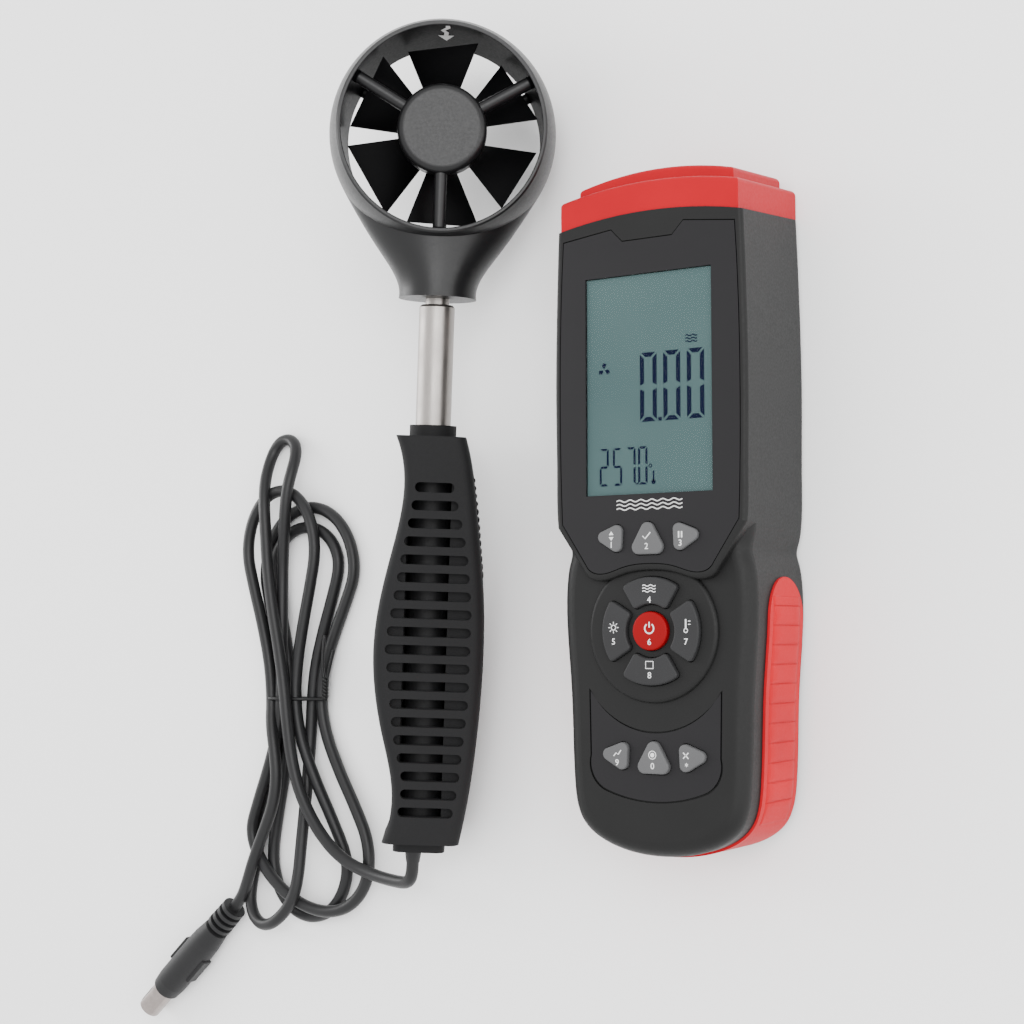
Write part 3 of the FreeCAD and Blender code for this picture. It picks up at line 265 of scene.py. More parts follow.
def moulded_surface(name, colour, roughness, grain=1.4, depth=0.03, mottle=0.12, specular=0.5):
    """Moulded plastic or rubber: fine spark-eroded grain, slight flow marks in colour and gloss."""
    surface = Surface(name, Specular_IOR_Level=specular)
    vector = surface.place()
    flow = surface.noise(vector, scale=0.045, detail=4.0)
    fine = surface.noise(vector, scale=grain, detail=4.0, roughness=0.65)
    dark, light = shade_of(colour, 1.0 - mottle), shade_of(colour, 1.0 + mottle)
    surface.feed(Base_Color=surface.mixed(surface.between(flow, 0.0, 1.0), dark, light),
                 Roughness=surface.around(roughness, fine, MOULD_GLOSS))
    surface.bump(fine, depth)
    return surface


def moulded(name, colour, roughness, **details):
    return moulded_surface(name, colour, roughness, **details).material


def rubbery(name, colour, roughness=0.62, grain=2.2, depth=0.02, specular=0.22):
    """Soft rubber: moulded, with a faint sheen where it is seen at a slant."""
    surface = moulded_surface(name, colour, roughness, grain, depth, mottle=0.08, specular=specular)
    surface.set(Sheen_Weight=0.01, Sheen_Roughness=0.5)
    return surface.material


def turned_metal(name, colour, roughness, turn=(0.0, 0.0, 0.0), stretch=(14.0, 0.35, 14.0), depth=0.004):
    """Drawn or turned metal, with fine lines along its length: dark streaks in its colour that are partly
    drawn lines and partly painted dark reflections, and the lines' bump.
    """
    surface = Surface(name, Metallic=1.0, Anisotropic=0.35)
    vector = surface.place(stretch, turn)
    lines = surface.noise(vector, scale=0.32, detail=5.0, roughness=0.7)
    patches = surface.noise(surface.place(), scale=0.09, detail=3.0)
    # Painted reflection, in part: the dark streaks in the colour stand in for dark things mirrored along the
    # metal, as well as its drawn lines.
    dark = shade_of(colour, METAL_SHADE)
    surface.feed(Base_Color=surface.mixed(surface.between(lines, 0.0, 1.0), dark, colour),
                 Roughness=surface.around(roughness, patches, PATCH_GLOSS))
    surface.bump(lines, depth)
    return surface.material


# The duct's wall shines less than the rest of the head, and its colour is darkened there as a painted
# shade: where that starts and ends, as distances from the duct's radius in millimetres, and the shine
# outside and on the wall.
WALL_INNER, WALL_OUTER = (-0.9, -0.6), (0.1, 0.5)
HEAD_SHINE, WALL_SHINE = 0.30, 0.008


def shroud_plastic(name, colour, roughness):
    """The head's plastic: glossy outside, and on the duct's wall less shiny and painted darker, a painted
    shade inside the duct.
    """
    surface = moulded_surface(name, colour, roughness, grain=1.1, depth=0.010, mottle=0.08,
                              specular=HEAD_SHINE)
    back = PROBE_TURN.inverted()
    vector = surface.place(turn=back.to_euler(), shift=-PER_METRE * (back @ HEAD_CENTRE))
    across = surface.maths("ShaderNodeVectorMath", "MULTIPLY", vector, (1.0, 1.0, 0.0)).outputs["Vector"]
    radius = surface.maths("ShaderNodeVectorMath", "LENGTH", across).outputs["Value"]
    past_inner = surface.between(radius, 0.0, 1.0, DUCT + WALL_INNER[0], DUCT + WALL_INNER[1])
    before_outer = surface.between(radius, 1.0, 0.0, DUCT + WALL_OUTER[0], DUCT + WALL_OUTER[1])
    duct_shade_mask = surface.maths("ShaderNodeMath", "MULTIPLY", past_inner, before_outer).outputs["Value"]
    # Painted shade: towards the duct's wall the colour is mixed to near black, standing in for the shade
    # inside the duct.
    plain = surface.shader.inputs["Base Color"].links[0].from_socket
    painted_duct_shade = surface.add("ShaderNodeMix", data_type="RGBA")
    painted_duct_shade.inputs["B"].default_value = srgb(8, 8, 9)
    surface.link(plain, painted_duct_shade.inputs["A"])
    surface.link(duct_shade_mask, painted_duct_shade.inputs["Factor"])
    surface.feed(Base_Color=painted_duct_shade.outputs["Result"],
                 Specular_IOR_Level=surface.between(duct_shade_mask, HEAD_SHINE, WALL_SHINE, 0.0, 1.0))
    return surface.material


def clear_window(name):
    """The window over the display: clear plastic with a trace of haze."""
    surface = Surface(name, Alpha=0.10, IOR=1.40, Transmission_Weight=1.0)
    haze = surface.noise(surface.place(), scale=0.05, detail=2.0)
    colour = surface.mixed(surface.between(haze, 0.0, 1.0), srgb(50, 64, 64), srgb(60, 76, 76))
    surface.feed(Base_Color=colour, Roughness=surface.between(haze, 0.02, 0.05))
    return surface.material


def display_sheet():
    """The grey-green front of the display, slightly clouded."""
    surface = Surface("display_sheet", Specular_IOR_Level=0.1)
    vector = surface.place()
    cloud = surface.noise(vector, scale=0.022, detail=2.0, roughness=0.4)
    clouded = surface.between(cloud, 0.0, 1.0, 0.25, 0.75)
    surface.feed(Base_Color=surface.mixed(clouded, srgb(60, 80, 81), srgb(68, 88, 88)),
                 Roughness=surface.between(surface.noise(vector, scale=3.0), 0.35, 0.45))
    return surface.material


def printed(name, colour, roughness=0.55, specular=0.3):
    """Printing ink: nearly flat, with the slight unevenness of a pad print."""
    surface = Surface(name, Specular_IOR_Level=specular)
    speck = surface.noise(surface.place(), scale=2.4, detail=3.0)
    worn = shade_of(colour, INK_SHADE)
    surface.feed(Base_Color=surface.mixed(surface.between(speck, 0.0, 1.0), worn, colour),
                 Roughness=surface.around(roughness, speck, PATCH_GLOSS))
    return surface.material


def circuit_board(name):
    """Green lacquer over a pattern of tracks."""
    surface = Surface(name, Coat_Weight=0.4)
    vector = surface.place()
    tracks = surface.add("ShaderNodeTexBrick")
    tracks.inputs["Scale"].default_value = 0.35
    tracks.inputs["Mortar Size"].default_value = 0.06
    tracks.inputs["Color1"].default_value = srgb(18, 84, 44)
    tracks.inputs["Color2"].default_value = srgb(24, 94, 50)
    tracks.inputs["Mortar"].default_value = srgb(52, 128, 72)
    surface.link(vector, tracks.inputs["Vector"])
    surface.feed(Base_Color=tracks.outputs["Color"],
                 Roughness=surface.between(surface.noise(vector, scale=0.8), 0.3, 0.45))
    return surface.material


def build_materials():
    """One material for each of the record's slots: grain and depth are in millimetres."""
    made = {}

    def add(maker, slot, *values, **details):
        made[slot] = maker(slot, *values, **details)

    add(moulded, "case_black", srgb(20, 20, 20), 0.50, grain=1.3, depth=0.02, mottle=0.08, specular=0.17)
    add(moulded, "panel_dark", srgb(20, 19, 21), 0.42, grain=1.9, depth=0.012, mottle=0.05, specular=0.20)
    add(rubbery, "grip_red", srgb(170, 6, 23), 0.60, grain=1.2, depth=0.02, specular=0.12)
    add(moulded, "cap_red", srgb(158, 2, 21), 0.45, grain=0.9, depth=0.012, mottle=0.05, specular=0.10)
    add(rubbery, "key_grey", srgb(78, 78, 79), 0.58, grain=2.6, depth=0.02)
    add(rubbery, "key_dark", srgb(34, 34, 35), 0.58, grain=2.6, depth=0.02)
    add(rubbery, "key_red", srgb(122, 0, 7), 0.48, grain=2.6, depth=0.012, specular=0.10)
    add(rubbery, "key_mat", srgb(60, 60, 62))
    add(clear_window, "window_clear")
    add(moulded, "lcd_screen", srgb(62, 80, 81), 0.35, grain=0.4, depth=0.004, mottle=0.04)
    add(moulded, "lcd_holder", srgb(150, 150, 146), 0.5)
    add(circuit_board, "board_green")
    add(moulded, "battery_case", srgb(26, 28, 34), 0.35, grain=0.7, depth=0.01)
    add(moulded, "socket_black", srgb(16, 16, 17), 0.45, grain=1.5, depth=0.02, mottle=0.10, specular=0.20)
    add(turned_metal, "screw_steel", srgb(140, 138, 135), 0.32, stretch=(4.0, 4.0, 1.0))
    add(rubbery, "handle_black", srgb(19, 19, 20), 0.66, grain=2.0, depth=0.02, specular=0.16)
    add(moulded, "core_black", srgb(30, 30, 31), 0.5, grain=1.0, depth=0.02, mottle=0.10, specular=0.18)
    add(turned_metal, "rod_steel", srgb(158, 153, 149), 0.38, turn=ALONG_PROBE)
    add(shroud_plastic, "head_black", srgb(15, 15, 16), 0.36)
    add(moulded, "vane_black", srgb(7, 7, 8), 0.42, grain=1.1, depth=0.012, mottle=0.08, specular=0.10)
    add(turned_metal, "bearing_steel", srgb(150, 148, 146), 0.25, turn=ALONG_PROBE)
    add(moulded, "magnet_grey", srgb(50, 49, 49), 0.45, grain=1.6, depth=0.02)
    add(rubbery, "cable_black", srgb(24, 24, 25), 0.42, grain=1.8, depth=0.012, specular=0.26)
    add(moulded, "tie_black", srgb(12, 12, 13), 0.30, grain=1.5, depth=0.01, mottle=0.10, specular=0.25)
    add(rubbery, "plug_black", srgb(24, 24, 25), 0.5, grain=1.6, depth=0.02, specular=0.24)
    add(turned_metal, "plug_metal", srgb(158, 149, 145), 0.22, stretch=(1.0, 1.0, 1.0), depth=0.002)
    return made


def dress_nodes(materials):
    """Give each carried-over node the material of its slot."""
    for entry in frame["record"]["subparts"]:
        slots = nodes[entry["node"]].data.materials
        slots.clear()
        slots.append(materials[entry["material_slot"]])


# ---------------------------------------------------------------- the cable

# The cable's diameter, and where it leaves its gland.
CABLE = 0.0045
LEAD_EXIT = (-0.1076, -0.1176, 0.0198)

# From the grip to the hank: out of the gland, down on to the hank, over its tie, and round one tall
# loop beyond its top, whose end rides over the hank's topmost turn.
LEAD = [(-0.1079, -0.1224, 0.0195), (-0.1114, -0.1256, 0.0176), (-0.1186, -0.1258, 0.0148),
        (-0.1272, -0.1253, 0.0122), (-0.1364, -0.1236, 0.0109), (-0.1446, -0.1206, 0.0108),
        (-0.1526, -0.1150, 0.0108), (-0.1600, -0.1066, 0.0108), (-0.1664, -0.0959, 0.0108),
        (-0.1703, -0.0830, 0.0109), (-0.1720, -0.0699, 0.0114), (-0.1736, -0.0567, 0.0114),
        (-0.1764, -0.0435, 0.0110), (-0.1800, -0.0283, 0.0108), (-0.1826, -0.0129, 0.0108),
        (-0.1838, 0.0015, 0.0108), (-0.1850, 0.0124, 0.0104), (-0.1866, 0.0209, 0.0082),
        (-0.1876, 0.0280, 0.0048), (-0.1868, 0.0338, 0.0026), (-0.1836, 0.0376, 0.0024),
        (-0.1788, 0.0382, 0.0026), (-0.1748, 0.0354, 0.0040), (-0.1730, 0.0304, 0.0062),
        (-0.1729, 0.0246, 0.0088), (-0.1738, 0.0176, 0.0104), (-0.1752, 0.0080, 0.0098),
        (-0.1772, -0.0030, 0.0080)]

# From the tie to the plug, over the hank's lower turns.
TAIL = [(-0.1814, -0.0715, 0.0092), (-0.1788, -0.0805, 0.0104), (-0.1774, -0.0910, 0.0104),
        (-0.1788, -0.1015, 0.0104), (-0.1833, -0.1119, 0.0104), (-0.1889, -0.1232, 0.0098),
        (-0.1930, -0.1314, 0.0082), (-0.1962, -0.1366, 0.0068), (-0.1989, -0.1400, 0.0061),
        (-0.2014, -0.1428, 0.0060)]

# How far along the model the tie lies.
TIE_Y = -0.062
# The hank's seven runs in the order the cable takes them: the place (x, y, z) of each run's upper end,
# (x, z) where it passes the tie, and the place of its lower end.
RUNS = [((-0.1786, -0.014, 0.0066), (-0.1785, 0.0068), (-0.1940, -0.114, 0.0063)),
        ((-0.1468, -0.014, 0.00225), (-0.1627, 0.0027), (-0.1380, -0.114, 0.0048)),
        ((-0.1912, -0.014, 0.00225), (-0.1814, 0.0027), (-0.1955, -0.131, 0.00225)),
        ((-0.1544, -0.012, 0.00225), (-0.1667, 0.0027), (-0.1681, -0.131, 0.0088)),
        ((-0.1866, -0.012, 0.00225), (-0.1769, 0.0027), (-0.1859, -0.122, 0.00225)),
        ((-0.1628, -0.006, 0.0063), (-0.1718, 0.0069), (-0.1478, -0.122, 0.0040)),
        ((-0.1968, -0.006, 0.0063), (-0.1829, 0.0069), None)]
# How far each end arc reaches beyond its runs' ends, how far its tip leans sideways, and how high
# it climbs over other turns at its tip and on its way back.
LOWER_ARCS = [(0.0275, 0.0090, 0.0064, 0.0064),
              (0.0170, -0.0030, 0.0062, 0.0102),
              (0.0225, 0.0, 0.00225, 0.0024)]
UPPER_ARCS = [(0.0260, 0.0, 0.00225, 0.00225),
              (0.0160, 0.0, 0.00225, 0.00225),
              (0.0245, 0.0, 0.0066, 0.0066)]
# Where the points lie on each half of a run, from its end to the tie, and round each end arc.
RUN_SHARES = (0.24, 0.5, 0.76)
ARC_ANGLES = (30.0, 60.0, 90.0, 120.0, 150.0)
# A run is drawn in along a line between a sine wave and a smooth step: this share of it is the sine.
SINE_SHARE = 0.6


def eased(share):
    """How far a run has been drawn in, a share of the way from its end to the tie."""
    smooth = share * share * (3.0 - 2.0 * share)
    return (1.0 - SINE_SHARE) * smooth + SINE_SHARE * math.sin(share * math.pi / 2.0)


def half_run(end, tie):
    """Points from a run's end to the tie, drawn in smoothly."""
    points = []
    for share in RUN_SHARES:
        pull = eased(share)
        points.append((end[0] + (tie[0] - end[0]) * pull,
                       end[1] + (TIE_Y - end[1]) * share,
                       end[2] + (tie[1] - end[2]) * pull))
    return points


def end_arc(start, end, reach, lean, tip_level, back_level):
    """Points of the half turn that joins two runs, beyond both their ends."""
    middle, half = (start[0] + end[0]) / 2.0, (start[0] - end[0]) / 2.0
    levels = ((start[2] + tip_level) / 2.0, tip_level, (tip_level + back_level) / 2.0,
              back_level, (back_level + end[2]) / 2.0)
    points = []
    for angle, level in zip(ARC_ANGLES, levels):
        turn = math.radians(angle)
        base = start[1] + (end[1] - start[1]) * angle / 180.0
        points.append((middle + half * math.cos(turn) + lean * math.sin(turn),
                       base + reach * math.sin(turn), level))
    return points


def hank_points():
    """The tied hank, as one line of points: down a run, round, up the next, round and down again."""
    points = []
    for index, (upper, tie, lower) in enumerate(RUNS):
        middle = [(tie[0], TIE_Y, tie[1])]
        falling = index % 2 == 0
        above = [upper] + half_run(upper, tie)
        if lower is None:
            return points + above + middle
        below = [lower] + half_run(lower, tie)
        if falling:
            points += above + middle + below[::-1]
            reach, lean, tip, back = LOWER_ARCS[index // 2]
            points += end_arc(lower, RUNS[index + 1][2], -reach, lean, tip, back)
        else:
            points += below + middle + above[::-1]
            points += end_arc(upper, RUNS[index + 1][0], *UPPER_ARCS[index // 2])
    return points


# How finely a cord is drawn round its section.
ROUNDNESS = 6


def nurbs_line(name, points, radius, resolution=8):
    """A round cord whose line is one smooth curve with these control points."""
    data = bpy.data.curves.new(name, "CURVE")
    data.dimensions = "3D"
    data.bevel_depth = radius
    data.bevel_resolution = ROUNDNESS
    data.use_fill_caps = True
    data.resolution_u = resolution
    spline = data.splines.new("NURBS")
    spline.points.add(len(points) - 1)
    for control, place in zip(spline.points, points):
        control.co = (*place, 1.0)
    spline.order_u = 3
    spline.use_endpoint_u = True
    return in_scene(name, data)


def build_cable(materials):
    """The whole cable as one line, from the gland to the plug."""
    cable = nurbs_line("probe_cable", [LEAD_EXIT] + LEAD + hank_points() + TAIL, CABLE / 2.0)
    cable.data.materials.append(materials["cable_black"])
    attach(cable, "grip")
    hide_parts("cable_lead", "cable_hank", "cable_tail")
    return cable


# The twist tie: its wire's radius, its loop's sides, foot and top, and the loop's line as (x, z).
TIE_RADIUS = 0.00066
TIE_LEFT, TIE_RIGHT, TIE_FOOT, TIE_TOP = -0.1858, -0.1590, 0.0006, 0.0098
TIE_LOOP = [(TIE_RIGHT, 0.0046), (TIE_RIGHT - 0.0022, TIE_FOOT + 0.0004), (-0.1650, TIE_FOOT),
            (-0.1720, TIE_FOOT), (-0.1790, TIE_FOOT), (TIE_LEFT + 0.0020, TIE_FOOT + 0.0004),
            (TIE_LEFT, 0.0046), (TIE_LEFT + 0.0022, TIE_TOP - 0.0010), (-0.1800, 0.0096),
            (-0.1760, 0.0095), (-0.1705, 0.0095), (-0.1650, 0.0062), (-0.1612, 0.0056),
            (TIE_RIGHT, 0.0052)]
# Its two ends: how often they are twisted round each other and in how many steps, the twist's radius,
# and the places where its middle starts and ends.
TWIST_TURNS, TWIST_STEPS, TWIST_RADIUS = 3.0, 22, 0.0007
TWIST_START = Vector((TIE_RIGHT + 0.0012, TIE_Y, 0.0062))
TWIST_END = TWIST_START + Vector((0.0010, 0.0080, 0.0010))
# The angle at which each end starts its twist, and its bend and its tip, as seen from the twist's end.
TIE_ENDS = [(0.0, (0.0016, 0.003675, 0.0008), (0.0032, 0.0105, 0.0004)),
            (math.pi, (-0.0008, 0.0056, 0.0008), (0.0004, 0.0160, 0.0004))]


def tie_end(start_angle, bend, tip):
    """One end of the tie: twisted round the other, and then free."""
    points = []
    for step in range(TWIST_STEPS + 1):
        share = step / TWIST_STEPS
        angle = start_angle + 2.0 * math.pi * TWIST_TURNS * share
        out = Vector((math.cos(angle), 0.0, math.sin(angle)))
        points.append(TWIST_START.lerp(TWIST_END, share) + TWIST_RADIUS * out)
    return points + [points[-1] + Vector(bend), points[-1] + Vector(tip)]


def build_twist_tie(materials):
    """A plastic-covered wire round the hank's waist, with its two ends twisted and left long."""
    loop = [(x, TIE_Y, z) for x, z in TIE_LOOP]
    first, second = [tie_end(*end) for end in TIE_ENDS]
    pieces = []
    for name, points in (("tie_loop", loop), ("tie_end_a", first), ("tie_end_b", second)):
        piece = nurbs_line(name, points, TIE_RADIUS, resolution=6)
        piece.data.materials.append(materials["tie_black"])
        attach(piece, "grip")
        pieces.append(piece)
    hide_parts("twist_tie")
    return pieces


# ---------------------------------------------------------------- the soft scales of the side grips

# The scales, in millimetres: the first and the last crease along the case, how many scales lie between
# them, their lower and upper edge, how far they rise from the grip, how deep they are let in to it, and
# how far the slopes before the first crease and after the last one reach.
SCALE_TOP, SCALE_FOOT, SCALE_COUNT = -29.1, -89.8, 10
SCALE_LOW, SCALE_HIGH = 7.6, 28.4
SCALE_RISE, SCALE_EDGE, SCALE_ROOT = 0.62, 0.06, 0.4
SCALE_RUN_IN, SCALE_RUN_OUT = 3.0, 7.0
SCALE_STEPS_ALONG, SCALE_STEPS_ACROSS = 10, 12
# How fast a scale falls off towards its lower and upper edge: over a fifth of its width at each.
SCALE_FADE = 5.0
# How full a scale is (a sine wave at 1, and fuller below that) and how much of its curve each crease
# takes off; how much of the rise the slope before the first crease has, and how fast the slope after
# the last one starts.
CUSHION_POWER, CUSHION_CUT = 0.6, 0.01
RUN_IN_RISE, RUN_OUT_START = 0.7, 6.0
# The rays that find the grip's face: how far out they start, how high they run at its round end, where
# that end stops, and how far above the scales they run further down, clear of the grooves.
RAY_START, RAY_LEVEL, ROUND_END, RAY_ABOVE = 60.0, 18.0, -40.0, 0.6


def band_surface():
    """The side grip's outer face as a function: how far out it lies at a place along the case."""
    mesh = nodes["grip_band"].data
    tree = BVHTree.FromPolygons([vertex.co for vertex in mesh.vertices],
                                [tuple(face.vertices) for face in mesh.polygons])

    def outwards(y):
        level = RAY_LEVEL if y > ROUND_END else SCALE_HIGH + RAY_ABOVE
        start = Vector((RAY_START * MM, y * MM, level * MM))
        return tree.ray_cast(start, Vector((-1.0, 0.0, 0.0)))[0].x / MM

    return outwards


def scale_shell(mesh, outwards, side, start, end, height):
    """One scale: a cushion on the grip between two creases, closed and let in to the grip behind."""
    along, across = SCALE_STEPS_ALONG, SCALE_STEPS_ACROSS
    face, back = [], []
    for step in range(along + 1):
        share = step / along
        y = start + (end - start) * share
        out = outwards(y)
        face.append([])
        back.append([])
        for place in range(across + 1):
            width = place / across
            z = SCALE_LOW + (SCALE_HIGH - SCALE_LOW) * width
            fade = min(1.0, SCALE_FADE * width, SCALE_FADE * (1.0 - width))
            rise = SCALE_EDGE + height(share) * math.sin(fade * math.pi / 2.0)
            face[-1].append(mesh.verts.new((side * (out + rise) * MM, y * MM, z * MM)))
            back[-1].append(mesh.verts.new((side * (out - SCALE_ROOT) * MM, y * MM, z * MM)))
    for i in range(along):
        for j in range(across):
            mesh.faces.new((face[i][j], face[i][j + 1], face[i + 1][j + 1], face[i + 1][j]))
            mesh.faces.new((back[i + 1][j], back[i + 1][j + 1], back[i][j + 1], back[i][j]))
    rim = [(0, j) for j in range(across)] + [(i, across) for i in range(along)]
    rim += [(along, j) for j in range(across, 0, -1)] + [(i, 0) for i in range(along, 0, -1)]
    for (i, j), (k, l) in zip(rim, rim[1:] + rim[:1]):
        mesh.faces.new((face[k][l], face[i][j], back[i][j], back[k][l]))


def cushion(share):
    """How high a scale stands, a share of the way from one crease to the next."""
    place = share * (1.0 - 2.0 * CUSHION_CUT) + CUSHION_CUT
    return SCALE_RISE * math.sin(math.pi * place) ** CUSHION_POWER


def run_in(share):
    """How high the slope before the first crease stands."""
    return RUN_IN_RISE * SCALE_RISE * share * math.sqrt(1.0 - share ** 4)


def run_out(share):
    """How high the slope after the last crease stands."""
    return SCALE_RISE * math.sqrt(min(1.0, RUN_OUT_START * share)) * (1.0 - share) ** 2


def build_grip_scales(materials):
    """The row of soft scales down each side grip, with a crease between each two."""
    outwards = band_surface()
    pitch = (SCALE_FOOT - SCALE_TOP) / SCALE_COUNT
    mesh = bmesh.new()
    for side in (-1.0, 1.0):
        scale_shell(mesh, outwards, side, SCALE_TOP + SCALE_RUN_IN, SCALE_TOP, run_in)
        for index in range(SCALE_COUNT):
            start = SCALE_TOP + pitch * index
            scale_shell(mesh, outwards, side, start, start + pitch, cushion)
        scale_shell(mesh, outwards, side, SCALE_FOOT, SCALE_FOOT - SCALE_RUN_OUT, run_out)
    piece = mesh_piece("grip_scales", mesh)
    for face in piece.data.polygons:
        face.use_smooth = True
    piece.data.materials.append(materials["grip_red"])
    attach(piece, "meter")


# ---------------------------------------------------------------- thin printed and raised shapes

def plate_mesh(name, outlines, level, thick):
    """Flat shapes of one thickness, from closed outlines of (x, y) in millimetres."""
    mesh = bmesh.new()
    for outline in outlines:
        foot = [mesh.verts.new((x * MM, y * MM, level)) for x, y in outline]
        top = [mesh.verts.new((x * MM, y * MM, level + thick)) for x, y in outline]
        mesh.faces.new(foot[::-1])
        mesh.faces.new(top)
        for index in range(len(outline)):
            after = (index + 1) % len(outline)
            mesh.faces.new((foot[index], foot[after], top[after], top[index]))
    return mesh_piece(name, mesh)


def stroke(points, width, closed=False):
    """Outlines of a pen stroke through some points: one block for each stretch, mitred at its ends."""
    count = len(points)
    sides = []
    for index, (x, y) in enumerate(points):
        before = points[index - 1] if index or closed else points[index]
        after = points[(index + 1) % count] if index < count - 1 or closed else points[index]
        along = Vector((after[0] - before[0], after[1] - before[1])).normalized()
        across = Vector((-along.y, along.x)) * width / 2.0
        sides.append(((x + across.x, y + across.y), (x - across.x, y - across.y)))
    blocks = []
    for index in range(count if closed else count - 1):
        (left, right), (next_left, next_right) = sides[index], sides[(index + 1) % count]
        blocks.append([left, right, next_right, next_left])
    return blocks


def ring_points(x, y, radius, start=0.0, end=360.0, steps=20):
    turns = [math.radians(start + (end - start) * step / steps) for step in range(steps + 1)]
    return [(x + radius * math.cos(turn), y + radius * math.sin(turn)) for turn in turns]


def disc(x, y, radius, steps=18):
    return ring_points(x, y, radius, steps=steps)[:-1]


def dot(x, y, side):
    return [(x, y), (x + side, y), (x + side, y + side), (x, y + side)]


def wave(x, y, length, height, waves, steps=10):
    count = int(waves * steps)
    return [(x + length * (step / count - 0.5), y + height * math.sin(2.0 * math.pi * step / steps))
            for step in range(count + 1)]


def air_lines(x, y, apart, length, height, waves, pen):
    """Three wavy lines, one above the other, that stand for moving air."""
    lines = []
    for row in range(3):
        lines += stroke(wave(x, y + apart * row, length, height, waves), pen)
    return lines


# The bars lit for each digit shown.  They are lettered clockwise from the top, and g is the middle one.
SEGMENTS = {"0": "abcdef", "2": "abged", "5": "afgcd", "7": "abc"}
# The gap between two bars, as a share of a digit's width.
BAR_GAP = 0.09


def digit(symbol, left, foot, wide, tall, pen):
    """The lit bars of one seven-bar digit, with slanted bar ends."""
    right, top, middle, gap = left + wide, foot + tall, foot + tall / 2.0, BAR_GAP * wide
    near, far = left + gap, right - gap
    low, high = middle - pen / 2.0, middle + pen / 2.0
    bars = {
        "a": [(near, top), (far, top), (far - pen, top - pen), (near + pen, top - pen)],
        "b": [(right, top - gap), (right, middle + gap), (right - pen, high + gap),
              (right - pen, top - gap - pen)],
        "c": [(right, foot + gap), (right - pen, foot + gap + pen), (right - pen, low - gap),
              (right, middle - gap)],
        "d": [(near, foot), (near + pen, foot + pen), (far - pen, foot + pen), (far, foot)],
        "e": [(left, foot + gap), (left, middle - gap), (left + pen, low - gap),
              (left + pen, foot + gap + pen)],
        "f": [(left, top - gap), (left + pen, top - gap - pen), (left + pen, high + gap),
              (left, middle + gap)],
        "g": [(near, middle), (near + pen / 2.0, high), (far - pen / 2.0, high), (far, middle),
              (far - pen / 2.0, low), (near + pen / 2.0, low)],
    }
    return [bars[letter] for letter in SEGMENTS[symbol]]


# ---------------------------------------------------------------- the display

# The display's lit front, in millimetres: how far it stays inside the window's edge, how high its face
# lies over the window's foot, and how thick it is; then the same two heights for the reading on it.
SHEET_EDGE, SHEET_LEVEL, SHEET_THICK = 0.06, 0.2, 0.1
READING_RAISED, READING_THICK = 0.01, 0.05
# The rows of digits: their symbols and left edges, the foot, width, height and bar width of a digit,
# and the place and side of the row's point.
DIGIT_ROWS = [("000", (-3.1, 5.1, 13.3), 28.5, 5.9, 21.9, 1.45, 3.3, 1.2),
              ("2570", (-17.7, -12.9, -8.1, -3.9), 8.8, 3.3, 12.0, 0.74, -4.6, 0.6)]
# The small rotor: its middle, the turn of each blade, and a blade's outline as (radius, angle).
ROTOR_MARK = (-15.9, 46.1)
BLADE_TURNS = (90.0, 210.0, 330.0)
BLADE = [(0.3, 0.0), (1.9, -26.0), (2.3, 6.0), (1.5, 34.0)]
# The degree ring's middle; the thermometer's bulb, and the foot and top of its stem.
DEGREE_RING = (0.4, 14.6)
BULB, STEM = (1.5, 9.5), [(1.5, 9.6), (1.5, 13.0)]


def reading_shapes():
    """Two rows of digits, a degree ring and a thermometer, and small marks for air and the rotor."""
    shapes = []
    for symbols, lefts, foot, wide, tall, pen, point, side in DIGIT_ROWS:
        for left, symbol in zip(lefts, symbols):
            shapes += digit(symbol, left, foot, wide, tall, pen)
        shapes.append(dot(point, foot, side))
    shapes += stroke(ring_points(*DEGREE_RING, radius=0.5, steps=10), width=0.28)
    shapes += stroke(STEM, width=0.5) + [disc(*BULB, radius=0.75)]
    shapes += air_lines(14.9, 52.6, apart=0.95, length=4.0, height=0.22, waves=2.0, pen=0.36)
    for turn in BLADE_TURNS:
        shapes.append([(ROTOR_MARK[0] + radius * math.cos(math.radians(turn + angle)),
                        ROTOR_MARK[1] + radius * math.sin(math.radians(turn + angle)))
                       for radius, angle in BLADE])
    return shapes


def build_display():
    """The lit front of the display under its window, and the reading on it."""
    low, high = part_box("lcd_window")
    level = low.z + SHEET_LEVEL * MM
    left, right = low.x / MM + SHEET_EDGE, high.x / MM - SHEET_EDGE
    foot, top = low.y / MM + SHEET_EDGE, high.y / MM - SHEET_EDGE
    corners = [(left, foot), (right, foot), (right, top), (left, top)]
    sheet = plate_mesh("display_sheet", [corners], level - SHEET_THICK * MM, SHEET_THICK * MM)
    sheet.data.materials.append(display_sheet())
    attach(sheet, "meter")
    reading = plate_mesh("display_reading", reading_shapes(), level + READING_RAISED * MM, READING_THICK * MM)
    ink = printed("reading_ink", srgb(9, 17, 40), roughness=0.5, specular=0.05)
    reading.data.materials.append(ink)
    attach(reading, "meter")


# ---------------------------------------------------------------- marks on the keys and the face

# How thick the keys' marks and numbers and the marks on the face are, in millimetres.
KEY_INK, FACE_INK = 0.05, 0.04
# The keys' numbers: their height, the size of the letters that gives it, and how much bolder they are.
NUMBER_TALL, SIZE_FOR_HEIGHT, NUMBER_BOLDER = 1.9, 1.45, 0.02


def arrow(x, y, tall, wide, up=1.0):
    return [[(x - wide / 2.0, y), (x + wide / 2.0, y), (x, y + tall * up)]]


def power_mark(x, y):
    ring = stroke(ring_points(x, y, radius=1.55, start=125.0, end=415.0, steps=22), width=0.42)
    return ring + stroke([(x, y + 0.3), (x, y + 2.0)], width=0.42)


def sun_mark(x, y):
    shapes = stroke(ring_points(x, y, radius=0.8, steps=12), width=0.28)
    inner, outer, rays = 1.2, 1.8, 8
    for ray in range(rays):
        turn = 2.0 * math.pi * ray / rays
        shapes += stroke([(x + radius * math.cos(turn), y + radius * math.sin(turn))
                          for radius in (inner, outer)], width=0.26)
    return shapes


